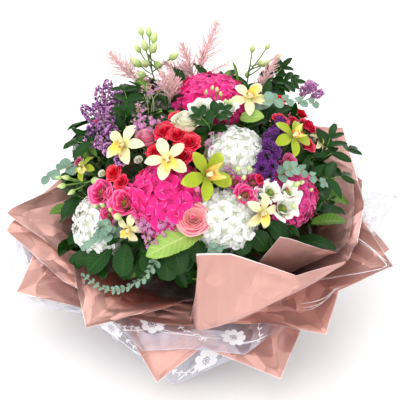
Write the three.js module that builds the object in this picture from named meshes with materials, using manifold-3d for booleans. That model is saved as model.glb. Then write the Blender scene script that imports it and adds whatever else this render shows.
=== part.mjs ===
// Hand-tied mixed bouquet in two kinds of wrapping film, standing on its splayed cut stems.
// Millimetres, +Z up, the flowers face -Y where the viewer stands.
import * as THREE from 'three';
import { ConvexGeometry } from 'three/addons/geometries/ConvexGeometry.js';
import Module from 'manifold-3d';

const wasm = await Module();
wasm.setup();
const { Manifold, Mesh } = wasm;
const V = (x, y, z) => new THREE.Vector3(x, y, z);
const RAD = Math.PI / 180;

// ---- driving sizes (mm, degrees) ----
const DOME_RADIUS = 250;
const DOME_TOP = 215;
const DOME_UNDER = 100;
const DOME_BASE = 280;
const TIE_HEIGHT = 110;
const TIE_RADIUS = 24;
const FOOT_RADIUS = 80;
const LEG_COUNT = 8;
const STEM_RADIUS = 3.2;
const GAP = 0.35;
const FILM = 1.0;
const LAYER_STEP = 2.4;
const NECK_RADIUS = 36;

// ---- how the photograph looks at the bouquet, to place what is seen in it ----
const VIEW_DOWN = 36;
const VIEW_DISTANCE = 1800;
const MM_PER_PIXEL = 1.9;
const AIM = V(0, 0, 261);
const VIEW = V(0, Math.cos(VIEW_DOWN * RAD), -Math.sin(VIEW_DOWN * RAD));
const VIEW_UP = V(0, Math.sin(VIEW_DOWN * RAD), Math.cos(VIEW_DOWN * RAD));
const EYE = AIM.clone().addScaledVector(VIEW, -VIEW_DISTANCE);

function sightLine([px, py]) {
  const ray = VIEW.clone().multiplyScalar(VIEW_DISTANCE);
  ray.x += (px - 200) * MM_PER_PIXEL;
  return ray.addScaledVector(VIEW_UP, (200 - py) * MM_PER_PIXEL).normalize();
}

// Where a sight line first meets the dome of flowers, raised by lift.
function onDome(pixel, lift = 0) {
  const ray = sightLine(pixel);
  const wide = DOME_RADIUS + lift;
  for (const high of [DOME_TOP + lift, DOME_UNDER + lift]) {
    const k = V(1 / wide, 1 / wide, 1 / high);
    const o = EYE.clone().sub(V(0, 0, DOME_BASE)).multiply(k);
    const d = ray.clone().multiply(k);
    const b = o.dot(d) / d.lengthSq();
    const c = (o.lengthSq() - 1) / d.lengthSq();
    const t = -b - Math.sqrt(Math.max(0, b * b - c));
    const point = EYE.clone().addScaledVector(ray, t);
    if (point.z >= DOME_BASE || high < DOME_TOP) return point;
  }
  return null;
}

// Where a sight line crosses the upright plane at depth y.
function atDepth(pixel, y) {
  const ray = sightLine(pixel);
  return EYE.clone().addScaledVector(ray, (y - EYE.y) / ray.y);
}

// A point on the dome by compass bearing (0 = +X, 90 = back) and tilt from the top.
function domePoint(bearing, tilt, lift = 0) {
  const s = Math.sin(tilt * RAD) * (DOME_RADIUS + lift);
  const z = DOME_BASE + Math.cos(tilt * RAD) * (DOME_TOP + lift);
  return V(s * Math.cos(bearing * RAD), s * Math.sin(bearing * RAD), z);
}

// Growth direction of a stem through a point: away from the tie, turned a little upright.
function growth(point) {
  const domeNormal = V(point.x, point.y, (point.z - DOME_BASE) * 1.3 + 60).normalize();
  return domeNormal.add(V(0, 0, 0.15)).normalize();
}

let seed = 7;
function random() {
  seed = (seed * 1664525 + 1013904223) % 4294967296;
  return seed / 4294967296;
}
const spread = (low, high) => low + (high - low) * random();

// ---- building blocks ----
function solid(points, faces) {
  const vertProperties = new Float32Array(points.flatMap((p) => [p.x, p.y, p.z]));
  const body = new Manifold(new Mesh({ numProp: 3, vertProperties, triVerts: new Uint32Array(faces.flat()) }));
  return body.volume() < 0 ? solid(points, faces.map(([a, b, c]) => [a, c, b])) : body;
}

// Local frame at a point: z along axis, x turned by spin degrees.
function frame(point, axis, spin = 0) {
  const z = axis.clone().normalize();
  const side = Math.abs(z.z) > 0.95 ? V(1, 0, 0) : V(0, 0, 1);
  const x = V(0, 0, 0).crossVectors(side, z).normalize();
  const y = V(0, 0, 0).crossVectors(z, x);
  const turned = new THREE.Matrix4().makeRotationZ(spin * RAD);
  return new THREE.Matrix4().makeBasis(x, y, z).setPosition(point).multiply(turned);
}
const put = (body, matrix) => body.transform(matrix.elements);

// Closed surface of rings round the z axis between two end points.
function ringed(bottom, rings, top, count) {
  const points = [V(0, 0, bottom)];
  for (const { r, z, lobes = 0, deep = 0, turn = 0, wave = 0 } of rings) {
    for (let i = 0; i < count; i += 1) {
      const a = (i / count) * 2 * Math.PI;
      const lobe = Math.cos(lobes * a + turn);
      const radius = r * (1 + deep * lobe);
      points.push(V(radius * Math.cos(a), radius * Math.sin(a), z + wave * lobe));
    }
  }
  points.push(V(0, 0, top));
  const last = points.length - 1;
  const faces = [];
  for (let i = 0; i < count; i += 1) {
    const j = (i + 1) % count;
    faces.push([0, 1 + j, 1 + i]);
    for (let k = 0; k < rings.length - 1; k += 1) {
      const [low, high] = [1 + k * count, 1 + (k + 1) * count];
      faces.push([low + i, low + j, high + j], [low + i, high + j, high + i]);
    }
    const end = 1 + (rings.length - 1) * count;
    faces.push([end + i, end + j, last]);
  }
  return solid(points, faces);
}

// Tapered rod along a path.
function rod(path, radii, sides = 3) {
  const rings = path.map((p, i) => {
    const before = path[Math.max(0, i - 1)];
    const after = path[Math.min(path.length - 1, i + 1)];
    const m = frame(p, after.clone().sub(before));
    return Array.from({ length: sides }, (_, s) => {
      const a = (s / sides) * 2 * Math.PI;
      return V(radii[i] * Math.cos(a), radii[i] * Math.sin(a), 0).applyMatrix4(m);
    });
  });
  const points = rings.flat();
  const faces = [];
  for (let i = 0; i < path.length - 1; i += 1) {
    for (let s = 0; s < sides; s += 1) {
      const [a, b] = [i * sides + s, i * sides + ((s + 1) % sides)];
      faces.push([a, b, b + sides], [a, b + sides, a + sides]);
    }
  }
  const end = (path.length - 1) * sides;
  for (let s = 1; s < sides - 1; s += 1) {
    faces.push([0, s + 1, s], [end, end + s, end + s + 1]);
  }
  return solid(points, faces);
}

// Lens-shaped blade (leaf, petal) along +x, face towards +z; widths are halves.
function blade(length, widths, { thick = 1.6, droop = 0, cup = 0, twist = 0 } = {}) {
  const points = [V(0, 0, 0)];
  widths.forEach((w, i) => {
    const t = (i + 1) / (widths.length + 1);
    const z = -droop * t * t;
    const lean = twist * t;
    const edge = cup * w;
    points.push(
      V(length * t, w, z + edge + lean),
      V(length * t, 0, z + thick / 2),
      V(length * t, -w, z + edge - lean),
      V(length * t, 0, z - thick / 2)
    );
  });
  points.push(V(length, 0, -droop));
  const last = points.length - 1;
  const faces = [];
  for (let s = 0; s < 4; s += 1) {
    const n = (s + 1) % 4;
    faces.push([0, 1 + s, 1 + n]);
    for (let k = 0; k < widths.length - 1; k += 1) {
      const [a, b] = [1 + 4 * k, 5 + 4 * k];
      faces.push([a + s, b + s, b + n], [a + s, b + n, a + n]);
    }
    const e = last - 4;
    faces.push([e + s, last, e + n]);
  }
  return solid(points, faces);
}

// Turns a +x blade to leave a point along a direction with its face towards up.
function aim(body, point, direction, up) {
  const x = direction.clone().normalize();
  const y = V(0, 0, 0).crossVectors(up, x).normalize();
  const z = V(0, 0, 0).crossVectors(x, y);
  return put(body, new THREE.Matrix4().makeBasis(x, y, z).setPosition(point));
}

// ---- flowers, each with its face on the local z = 0 plane and its stem going down ----
function spherePoints(count) {
  return Array.from({ length: count }, (_, i) => {
    const z = 1 - (2 * i + 1) / count;
    const a = i * 2.399963;
    const r = Math.sqrt(1 - z * z);
    return V(r * Math.cos(a), r * Math.sin(a), z);
  });
}

// Hydrangea head: four-petalled florets standing proud of the hollows between them.
function hydrangea(across, deep, count) {
  const centres = spherePoints(count).filter((p) => p.z > -0.5);
  const step = Math.sqrt((4 * Math.PI) / count);
  const made = [];
  const add = (direction, radius) => made.push({ unit: direction.clone().normalize(), radius });
  centres.forEach((c) => {
    const m = frame(V(0, 0, 0), c, spread(0, 90));
    add(c, 0.94);
    for (let q = 0; q < 8; q += 1) {
      const petal = q % 2 === 0;
      const a = (q * Math.PI) / 4;
      const reach = step * (petal ? 0.44 : 0.27);
      const spot = V(Math.cos(a) * reach, Math.sin(a) * reach, 0).applyMatrix4(m).add(c);
      add(spot, petal ? spread(0.98, 1.03) : 0.92);
    }
  });
  const tips = centres.map((c) => c.clone());
  const hull = new ConvexGeometry([...tips, V(0, 0, -1)]).getAttribute('position');
  for (let f = 0; f < hull.count; f += 3) {
    const middle = V(0, 0, 0);
    for (let k = 0; k < 3; k += 1) middle.add(V(hull.getX(f + k), hull.getY(f + k), hull.getZ(f + k)));
    middle.normalize();
    const near = Math.min(...made.map((p) => p.unit.distanceTo(middle)));
    if (middle.z > -0.75 && near > step * 0.16) add(middle, 0.8);
  }
  add(V(0, 0, -1), 0.62);
  const skin = new ConvexGeometry(made.map((p) => p.unit)).getAttribute('position');
  const faces = [];
  for (let f = 0; f < skin.count; f += 3) {
    faces.push([0, 1, 2].map((k) => {
      const p = V(skin.getX(f + k), skin.getY(f + k), skin.getZ(f + k));
      return made.reduce((best, q, i) => (q.unit.distanceTo(p) < made[best].unit.distanceTo(p) ? i : best), 0);
    }));
  }
  const points = made.map(({ unit, radius }) =>
    V(unit.x * across * radius, unit.y * across * radius, (unit.z * radius - 1) * deep));
  return solid(points, faces);
}

// Rose: petal rims in rings, each ring turned against the last, round a pointed bud.
function rose(r, layers = 3) {
  const rings = [{ r, z: -r * 0.3, lobes: 5, deep: 0.07, wave: r * 0.06 }];
  for (let k = 1; k < layers; k += 1) {
    const out = 1 - k / layers;
    rings.push(
      { r: r * (out + 0.16), z: -r * 0.42 + k * r * 0.1, lobes: 5, deep: 0.05, turn: 2 * k },
      { r: r * (out + 0.04), z: -r * 0.25 + k * r * 0.13, lobes: 5, deep: 0.06, turn: 2 * k + 1, wave: r * 0.04 }
    );
  }
  return ringed(-r * 1.35, rings, -r * 0.22, 10);
}

// Lisianthus: open bell of five broad petals round a throat.
function lisianthus(r) {
  return ringed(-r * 1.7, [
    { r: r * 0.95, z: -r * 0.25, lobes: 5, deep: 0.12, wave: r * 0.1 },
    { r: r * 0.5, z: -r * 0.45, lobes: 5, deep: 0.08 },
    { r: r * 0.16, z: -r * 0.7 },
  ], -r * 0.45, 10);
}

const bud = (r, length) => ringed(-length, [{ r, z: -length * 0.45 }], 0, 4);

// Orchid: a star of five long tepals behind a ruffled lip with its column.
function orchid(r, open, lipped) {
  const outline = [0.17, 0.66, 1, 0.66];
  const points = [V(0, 0, -r * 0.3), V(0, -r * 0.1, lipped ? -r * 0.08 : r * 0.2)];
  for (const side of [-1, 1]) {
    for (let i = 0; i < 20; i += 1) {
      const reach = outline[i % 4] * r;
      const a = (i % 4 === 0 ? i : i + (2 - (i % 4)) * 0.25) * 18 * RAD + 54 * RAD;
      const droop = -open * r * (reach / r) ** 2 + (i % 4 === 2 ? 0 : r * 0.03);
      points.push(V(Math.cos(a) * reach, Math.sin(a) * reach, droop - r * 0.1 + side * 0.8));
    }
  }
  const faces = [];
  for (let i = 0; i < 20; i += 1) {
    const j = (i + 1) % 20;
    faces.push([0, 2 + j, 2 + i], [2 + i, 2 + j, 22 + j], [2 + i, 22 + j, 22 + i], [1, 22 + i, 22 + j]);
  }
  if (!lipped) return solid(points, faces);
  const lip = ringed(-r * 0.25, [{ r: r * 0.27, z: r * 0.1, lobes: 3, deep: 0.2, turn: 1.57 }], 0, 6);
  return Manifold.union([solid(points, faces), put(lip, new THREE.Matrix4().makeTranslation(0, -r * 0.14, 0))]);
}

// Feathery plume: side sprays shortening to the tip of a main stalk.
function plume(base, tip, wide, sprays) {
  const along = tip.clone().sub(base);
  const length = along.length();
  const m = frame(base, along, spread(0, 90));
  const parts = [rod([base, tip], [2, 0.7], 3)];
  for (let i = 0; i < sprays; i += 1) {
    const t = 0.22 + (0.7 * i) / sprays;
    const a = i * 137.5 * RAD;
    const reach = wide * (1.05 - t) * spread(0.9, 1.15);
    const from = V(0, 0, length * t).applyMatrix4(m);
    const to = V(Math.cos(a) * reach, Math.sin(a) * reach, length * t + reach * 0.75).applyMatrix4(m);
    const reachOut = to.clone().sub(from);
    const spray = ringed(-1, [{ r: 3.6 * (1.2 - t), z: reachOut.length() * 0.35 }], reachOut.length(), 3);
    parts.push(put(spray, frame(from, reachOut)));
  }
  return Manifold.union(parts);
}

// Branching head of short spires, each knobbed all round with small blossoms.
function blossoms(base, tip, wide, branches, rows, size) {
  const along = tip.clone().sub(base);
  const length = along.length();
  const m = frame(base, along, spread(0, 360));
  const fork = V(0, 0, length * 0.45).applyMatrix4(m);
  const parts = [rod([base, fork], [1.9, 1.7], 3)];
  for (let b = 0; b < branches; b += 1) {
    const a = b * (360 / branches) * RAD;
    const reach = b === 0 ? wide * 0.1 : wide * spread(0.85, 1.1);
    const top = V(Math.cos(a) * reach, Math.sin(a) * reach, length * (b === 0 ? 1 : spread(0.74, 0.92)));
    const out = top.applyMatrix4(m).sub(fork);
    const spire = out.length();
    const rings = [];
    for (let k = 0; k < rows; k += 1) {
      const t = 0.35 + (0.55 * k) / rows;
      const r = size * (1.15 - 0.6 * (k / rows));
      rings.push({ r, z: spire * t, lobes: 3, deep: 0.35, turn: k * Math.PI, wave: size * 0.3 });
      rings.push({ r: r * 0.55, z: spire * (t + 0.3 / rows) });
    }
    parts.push(put(ringed(-2, [{ r: 1.5, z: spire * 0.2 }, ...rings], spire, 6), frame(fork, out, b * 40)));
  }
  return Manifold.union(parts);
}

// Leafy twig: leaves in pairs along a bowed stem.
function twig(path, { pairs, leaf, wide, round = false, rise = 0.5, face = V(0, -0.4, 1) }) {
  const curve = new THREE.CatmullRomCurve3(path);
  const line = [0, 0.5, 1].map((t) => curve.getPoint(t));
  const parts = [rod(line, [1.8, 1.4, 0.9], 3)];
  for (let i = 0; i < pairs; i += 1) {
    const t = 0.12 + (0.8 * i) / Math.max(1, pairs - 1);
    const at = t < 0.5 ? line[0].clone().lerp(line[1], t * 2) : line[1].clone().lerp(line[2], t * 2 - 1);
    const along = curve.getTangent(t);
    const across = V(0, 0, 0).crossVectors(face, along).normalize();
    for (const side of [-1, 1]) {
      const scale = spread(0.85, 1.1) * (round ? 1.15 - 0.45 * t : 1.05 - 0.25 * Math.abs(t - 0.5));
      const out = across.clone().multiplyScalar(side).addScaledVector(along, rise).normalize();
      const up = face.clone().addScaledVector(across, side * spread(-0.5, 0.2)).normalize();
      const widths = round ? [wide * 0.95, wide * 0.95] : [wide, wide * 0.8];
      parts.push(aim(blade(leaf * scale, widths.map((w) => w * scale), { thick: 1.8, droop: leaf * 0.1 }), at, out, up));
    }
  }
  const end = curve.getPoint(1);
  parts.push(aim(blade(leaf * 0.8, [wide * 0.7, wide * 0.5], { thick: 1.8 }), end.clone().addScaledVector(curve.getTangent(1), -2), curve.getTangent(1), face));
  return Manifold.union(parts);
}

// Broad leaf with a toothed edge.
function broadLeaf(base, tip, wide, { face = V(0, -0.6, 1), droop = 6 } = {}) {
  const widths = [0.8, 1.04, 0.7].map((w) => wide * w);
  const along = tip.clone().sub(base);
  return aim(blade(along.length(), widths, { thick: 2, droop, cup: 0.18 }), base, along, face);
}

const made = [];
const add = (name, colour, body, rank, keep = 'mesh') => made.push({ name, colour, body, rank, keep });

// A bloom faces out of the dome where it is seen; lift is how far its face stands off the dome.
function bloom(body, pixel, { lift = 0, spin = 0 } = {}) {
  const point = onDome(pixel, lift);
  const axis = growth(point);
  return put(body, frame(point, axis, spin));
}
function backBloom(body, bearing, tilt, lift = 0) {
  const point = domePoint(bearing, tilt, lift);
  return put(body, frame(point, growth(point), 0));
}

const COLOUR = {
  hotPink: 0xf2308f, raspberry: 0xd62a80, white: 0xf7f5ee, red: 0xe0243c, rose: 0xee6d92,
  cream: 0xf6eecb, blush: 0xf0a0b4, magenta: 0xe23a8c, lime: 0xb9c832, pale: 0xf3efb8,
  plume: 0xeeb0b4, lilac: 0x8a4f9c, violet: 0x521a70, wax: 0xc888bc, bud: 0xc3d39a,
  sage: 0x7ea596, leaf: 0x1f5230, fresh: 0x86b045, stem: 0x4f7d3a, paper: 0xd9a091,
  inner: 0xcf9484, clear: 0xe6e8f2, ribbon: 0xe6c9c2, twine: 0xb79b6a,
};

// Hydrangea heads: seen at, half width, depth, florets, lift.
for (const [name, colour, pixel, across, deep, count, lift] of [
  ['hydrangea_pink_mid', COLOUR.hotPink, [160, 190], 60, 42, 23, 10],
  ['hydrangea_pink_top', COLOUR.hotPink, [213, 84], 60, 44, 22, 8],
  ['hydrangea_pink_right', COLOUR.raspberry, [299, 186], 55, 42, 20, 0],
  ['hydrangea_white_left', COLOUR.white, [84, 221], 50, 44, 20, 8],
  ['hydrangea_white_upper', COLOUR.white, [240, 141], 49, 42, 20, 8],
  ['hydrangea_white_low', COLOUR.white, [230, 214], 49, 42, 20, 6],
]) add(name, colour, bloom(hydrangea(across, deep, count), pixel, { lift }), 3);
add('hydrangea_white_back', COLOUR.white, backBloom(hydrangea(66, 48, 18), 108, 56, 4), 3);

// Large roses.
add('rose_pink', COLOUR.rose, bloom(rose(24, 4), [193, 216], { lift: 14 }), 1, 'hull');
add('rose_cream', COLOUR.cream, bloom(rose(27, 3), [185, 118], { lift: 8 }), 1, 'hull');
add('rose_blush', COLOUR.blush, bloom(rose(21, 3), [144, 134], { lift: 2 }), 1, 'hull');

// Spray roses and lisianthus: several blooms on one branching stalk.
function spray(make, list) {
  const heads = list.map(([px, py, r, lift = 4]) => {
    const face = onDome([px, py], lift);
    const axis = growth(face);
    return { r, face, axis, neck: face.clone().addScaledVector(axis, -r * 1.05) };
  });
  const links = heads.slice(1).map(({ neck }, i) => rod([heads[i].neck, neck], [1.9, 1.9], 3));
  const first = heads[0];
  const stalk = rod([first.neck.clone().addScaledVector(first.axis, -26), first.neck], [2, 1.9], 3);
  return Manifold.union([...heads.map(({ r, face, axis }) => put(make(r), frame(face, axis))), ...links, stalk]);
}
add('spray_roses_red', COLOUR.red, spray((r) => rose(r, 2), [
  [163, 127, 16, 6], [178, 130, 15, 8], [190, 138, 15, 6], [181, 152, 17, 10], [154, 147, 13, 2], [167, 112, 9, 2],
]), 1);
add('spray_roses_right', COLOUR.red, spray((r) => rose(r, 2), [
  [283, 115, 13], [303, 109, 12], [313, 121, 17, 6], [311, 142, 15, 2],
]), 1);
add('spray_roses_left', COLOUR.rose, spray((r) => rose(r, 2), [[111, 170, 15, 4], [119, 180, 14, 2]]), 1);
add('lisianthus_pink_left', COLOUR.magenta, spray(lisianthus, [[97, 190, 20, 10], [121, 200, 23, 10], [106, 214, 15, 6]]), 1);
add('lisianthus_pink_right', COLOUR.magenta, spray(lisianthus, [[255, 180, 16, 4], [247, 193, 15, 8]]), 1);
add('lisianthus_white_right', COLOUR.white, spray(lisianthus, [
  [287, 207, 19, 24], [291, 190, 18, 24], [273, 190, 16, 20],
]), 1);
add('lisianthus_white_top', COLOUR.white, spray(lisianthus, [[203, 103, 18, 12], [221, 107, 16, 12]]), 1);

// Roses round the back, linked like a spray.
const backRoses = [[40, 68, 25], [58, 50, 27], [80, 66, 28], [86, 36, 24]].map(([bearing, tilt, r]) => {
  const face = domePoint(bearing, tilt, 2);
  return { r, face, axis: growth(face) };
});
const backNecks = backRoses.map(({ r, face, axis }) => face.clone().addScaledVector(axis, -r * 1.05));
add('roses_back', COLOUR.blush, Manifold.union([
  ...backRoses.map(({ r, face, axis }) => put(rose(r, 2), frame(face, axis))),
  ...backNecks.slice(1).map((neck, i) => rod([backNecks[i], neck], [2.2, 2.2], 3)),
]), 1);

// Orchids.
for (const [name, colour, pixel, r, lift, spin, open] of [
  ['orchid_green_mid', COLOUR.lime, [207, 174], 47, 16, 8, 0.1],
  ['orchid_green_right', COLOUR.lime, [292, 135], 38, 26, -15, 0.45],
  ['orchid_green_left', COLOUR.lime, [83, 167], 27, 4, 20, 0.4],
  ['orchid_cream_left', COLOUR.pale, [122, 142], 40, 10, 12, 0.2],
  ['orchid_cream_mid', COLOUR.pale, [166, 158], 38, 22, -10, 0.25],
  ['orchid_cream_low', COLOUR.pale, [129, 229], 28, 6, 40, 0.6],
  ['orchid_cream_right', COLOUR.pale, [262, 212], 34, 20, -25, 0.35],
  ['orchid_cream_top', COLOUR.pale, [247, 99], 34, 10, -10, 0.3],
  ['orchid_cream_edge', COLOUR.pale, [319, 140], 24, 2, -60, 0.6],
]) add(name, colour, bloom(orchid(r, open, colour === COLOUR.lime), pixel, { lift, spin: spin - 90 }), 1);

// ---- wrapping film: nested square sheets gathered at the tie ----
// Each rim is [bearing, radius, height] with, where the edge is turned up, [fold radius, fold height].
const ring = (bearing, r, z) => V(r * Math.cos(bearing * RAD), r * Math.sin(bearing * RAD), z);
const bed = (bearing, radius) => {
  const facing = Math.cos((bearing + 95) * RAD);
  const front = Math.max(0, facing) ** 1.2;
  const outer = 228 - 50 * front + 34 * Math.max(0, -facing);
  const knots = [[NECK_RADIUS, TIE_HEIGHT + 6], [200, 192 - 6 * front], [310, outer]];
  for (let i = 1; i < knots.length; i += 1) {
    const [[r0, z0], [r1, z1]] = [knots[i - 1], knots[i]];
    if (radius <= r1 || i === knots.length - 1) return z0 + ((z1 - z0) * (radius - r0)) / (r1 - r0);
  }
  return outer;
};
const pleat = (bearing, radius) => (Math.sin(5 * bearing * RAD + 1) + 0.6 * Math.sin(8 * bearing * RAD)) * radius * 0.012;

function fillRim(rim, widest) {
  const full = [];
  rim.forEach((a, i) => {
    const b = rim[(i + 1) % rim.length];
    const turn = (b[0] - a[0] + 720) % 360;
    const steps = Math.max(1, Math.ceil(turn / widest));
    const pa = ring(a[0], a[1], a[2]);
    const pb = ring(b[0], b[1], b[2]);
    for (let s = 0; s < steps; s += 1) {
      const bearing = a[0] + (turn * s) / steps;
      const u = V(Math.cos(bearing * RAD), Math.sin(bearing * RAD), 0);
      const ca = pa.x * u.y - pa.y * u.x;
      const cb = pb.x * u.y - pb.y * u.x;
      const k = s === 0 ? 0 : ca / (ca - cb);
      const edge = pa.clone().lerp(pb, k);
      const fold = a[3] && b[3] ? [a[3] + (b[3] - a[3]) * k, a[4] + (b[4] - a[4]) * k] : (s === 0 ? [a[3], a[4]] : []);
      full.push({ bearing, r: Math.hypot(edge.x, edge.y), z: edge.z, fold });
    }
  });
  return full;
}

function sheet(order, rim, widest = 24) {
  const columns = fillRim(rim, widest).map(({ bearing, r, z, fold }) => {
    const down = (radius) => order * (LAYER_STEP + (radius - NECK_RADIUS) * 0.016);
    const out = order * LAYER_STEP;
    const at = (radius) => bed(bearing, radius) - down(radius) + pleat(bearing, radius);
    const path = [
      [NECK_RADIUS + 2 + out, TIE_HEIGHT - 20], [NECK_RADIUS + out, TIE_HEIGHT + 6 - 0.62 * out], [200, at(200)],
    ];
    const shoulder = (200 + r) / 2;
    if (fold[0]) path.push([fold[0], fold[1]]);
    else path.push([shoulder, (at(200) + z) / 2]);
    path.push([r, z]);
    return path.map(([radius, height]) => ring(bearing, radius, height));
  });
  const n = columns.length;
  const rows = columns[0].length;
  const faceNormal = (i, j) => {
    const along = columns[i][Math.min(rows - 1, j + 1)].clone().sub(columns[i][Math.max(0, j - 1)]);
    const round = columns[(i + 1) % n][j].clone().sub(columns[(i + n - 1) % n][j]);
    return round.cross(along).normalize().multiplyScalar(-1);
  };
  const points = [];
  for (let i = 0; i < n; i += 1) {
    for (let j = 0; j < rows; j += 1) {
      const off = faceNormal(i, j);
      points.push(columns[i][j].clone().addScaledVector(off, FILM / 2));
      points.push(columns[i][j].clone().addScaledVector(off, -FILM / 2));
    }
  }
  const id = (i, j, under) => ((i % n) * rows + j) * 2 + under;
  const faces = [];
  for (let i = 0; i < n; i += 1) {
    for (let j = 0; j < rows - 1; j += 1) {
      const [a, b, c, d] = [id(i, j, 0), id(i + 1, j, 0), id(i + 1, j + 1, 0), id(i, j + 1, 0)];
      faces.push([a, b, c], [a, c, d], [a + 1, c + 1, b + 1], [a + 1, d + 1, c + 1]);
    }
    const [a, b] = [id(i, 0, 0), id(i + 1, 0, 0)];
    faces.push([a, a + 1, b + 1], [a, b + 1, b]);
    const [c, d] = [id(i, rows - 1, 0), id(i + 1, rows - 1, 0)];
    faces.push([c, d + 1, c + 1], [c, d, d + 1]);
  }
  return solid(points, faces);
}

const SHEETS = [
  ['wrap_pink_inner', COLOUR.inner, 0, [
    [-180, 370, 236], [-160, 275, 214], [-150, 268, 212], [-127, 328, 176], [-95, 236, 212], [-79, 240, 226],
    [-69, 257, 298, 238, 232], [-63, 285, 372, 243, 238], [-36, 296, 272, 262, 236], [-20, 290, 246],
    [0, 296, 246], [21, 330, 252], [45, 300, 250], [80, 392, 336], [110, 320, 268], [140, 312, 244], [164, 288, 240],
  ]],
  ['wrap_pink_flap', COLOUR.paper, 1, [
    [-176, 371, 212], [-150, 290, 190], [-120, 258, 172], [-93, 252, 182], [-91.5, 281, 356, 302, 199],
    [-79, 267, 342, 303, 222], [-58, 303, 292, 316, 264], [-36, 318, 266, 318, 254], [-18, 304, 234],
    [5, 320, 234], [40, 396, 264], [70, 320, 254], [108, 400, 296], [145, 310, 228],
  ]],
  ['wrap_pink_mid', COLOUR.paper, 2, [
    [-157, 369, 160], [-125, 258, 156], [-95, 250, 166], [-66, 262, 168], [-49, 337, 152], [-36, 306, 194],
    [-22, 377, 214], [0, 308, 222], [20, 350, 226], [40, 330, 226], [62, 400, 270], [98, 320, 236],
    [135, 340, 222], [160, 316, 210], [-178, 300, 196],
  ]],
  ['film_clear_upper', COLOUR.clear, 3, [
    [-158, 376, 134], [-130, 262, 148], [-111, 284, 126], [-95, 264, 128], [-74, 284, 122], [-52, 262, 144], [-30, 306, 178], [7, 388, 236],
    [18, 330, 212], [30, 414, 246], [65, 330, 226], [120, 405, 244], [150, 330, 200], [178, 372, 190],
  ]],
  ['wrap_pink_outer', COLOUR.paper, 4, [
    [-168, 330, 144], [-140, 266, 138], [-122, 254, 134], [-104, 314, 88], [-89, 250, 120], [-64, 322, 80], [-43, 268, 134],
    [-8, 366, 182], [25, 320, 190], [50, 388, 222], [85, 326, 208], [118, 388, 218], [150, 318, 180],
    [172, 376, 160],
  ]],
  ['film_clear_lower', COLOUR.clear, 5, [
    [-150, 285, 118], [-125, 250, 84], [-102, 238, 4], [-80, 246, 74], [-50, 262, 104], [-25, 280, 134],
    [5, 350, 160], [35, 320, 170], [75, 330, 184], [130, 372, 184], [165, 320, 140],
  ]],
];
for (const [name, colour, order, rim] of SHEETS) {
  add(name, colour, sheet(order, rim), 0, 'sheet');
}

// ---- plumes, spires and bud sprays rising out of the dome ----
function rising(foot, tip, depth = 0) {
  const low = onDome(foot, -34);
  return [low, atDepth(tip, low.y + depth)];
}
for (const [name, foot, fronds] of [
  ['astilbe_top', [196, 80], [[[218, 20], 42, 9, 10], [[181, 42], 34, 6, 10], [[163, 62], 34, 6, -10],
    [[157, 104], 18, 2, -70]]],
  ['astilbe_left', [139, 85], [[[109, 52], 36, 10, 0]]],
  ['astilbe_right', [256, 96], [[[279, 53], 30, 8, 0]]],
]) {
  const plumes = fronds.map(([tip, wide, sprays, depth]) => plume(...rising(foot, tip, depth), wide, sprays));
  add(name, COLOUR.plume, Manifold.union(plumes), 4);
}

for (const [name, colour, foot, heads] of [
  ['statice_left', COLOUR.lilac, [114, 156], [[[100, 84], 36, 2, 2, 11], [[82, 112], 26, 2, 2, 10]]],
  ['statice_violet', COLOUR.violet, [261, 166], [[[266, 122], 18, 2, 2, 12]]],
  ['statice_tip_right', COLOUR.lilac, [298, 104], [[[310, 82], 24, 2, 2, 8]]],
  ['waxflower_upper', COLOUR.wax, [150, 132], [[[138, 106], 22, 2, 2, 8], [[146, 76], 22, 1, 2, 9]]],
  ['waxflower_low', COLOUR.wax, [158, 214], [[[148, 234], 34, 2, 2, 9]]],
]) {
  const parts = heads.map(([tip, ...rest]) => blossoms(onDome(foot, -30), onDome(tip, 24), ...rest));
  add(name, colour, Manifold.union(parts), 4);
}

// Closed buds on thin forked stalks.
function budSpray(foot, buds) {
  const base = onDome(foot, -30);
  const tips = buds.map(([px, py, , depth = 0]) => atDepth([px, py], base.y + depth));
  const stalk = tips[0];
  const parts = [rod([base, stalk], [2.4, 1.6], 3)];
  tips.forEach((tip, i) => {
    const r = buds[i][2];
    const neck = base.clone().lerp(stalk, 0.3 + 0.5 * ((i * 0.37) % 1));
    const last = tip.clone().sub(neck).setLength(3);
    if (i > 0) parts.push(rod([neck, tip], [1.3, 1.2], 3));
    parts.push(put(bud(r, r * 3.4), frame(tip.clone().addScaledVector(last, r * 0.9), last)));
  });
  return Manifold.union(parts);
}
add('buds_top_left', COLOUR.bud, budSpray([158, 92], [
  [142, 31, 5], [149, 33, 6, 8], [153, 38, 6.5], [145, 46, 6.5, -8], [141, 58, 7, 6], [147, 58, 7, -6], [170, 52, 5],
]), 4);
add('buds_top_right', COLOUR.bud, budSpray([247, 84], [[252, 47, 6], [266, 48, 5], [256, 62, 6.5, -6], [245, 68, 5, 4]]), 4);
add('buds_left', COLOUR.bud, budSpray([100, 178], [[64, 187, 6, 6], [70, 178, 6], [80, 172, 6, -10], [75, 190, 5, -10]]), 4);

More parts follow.
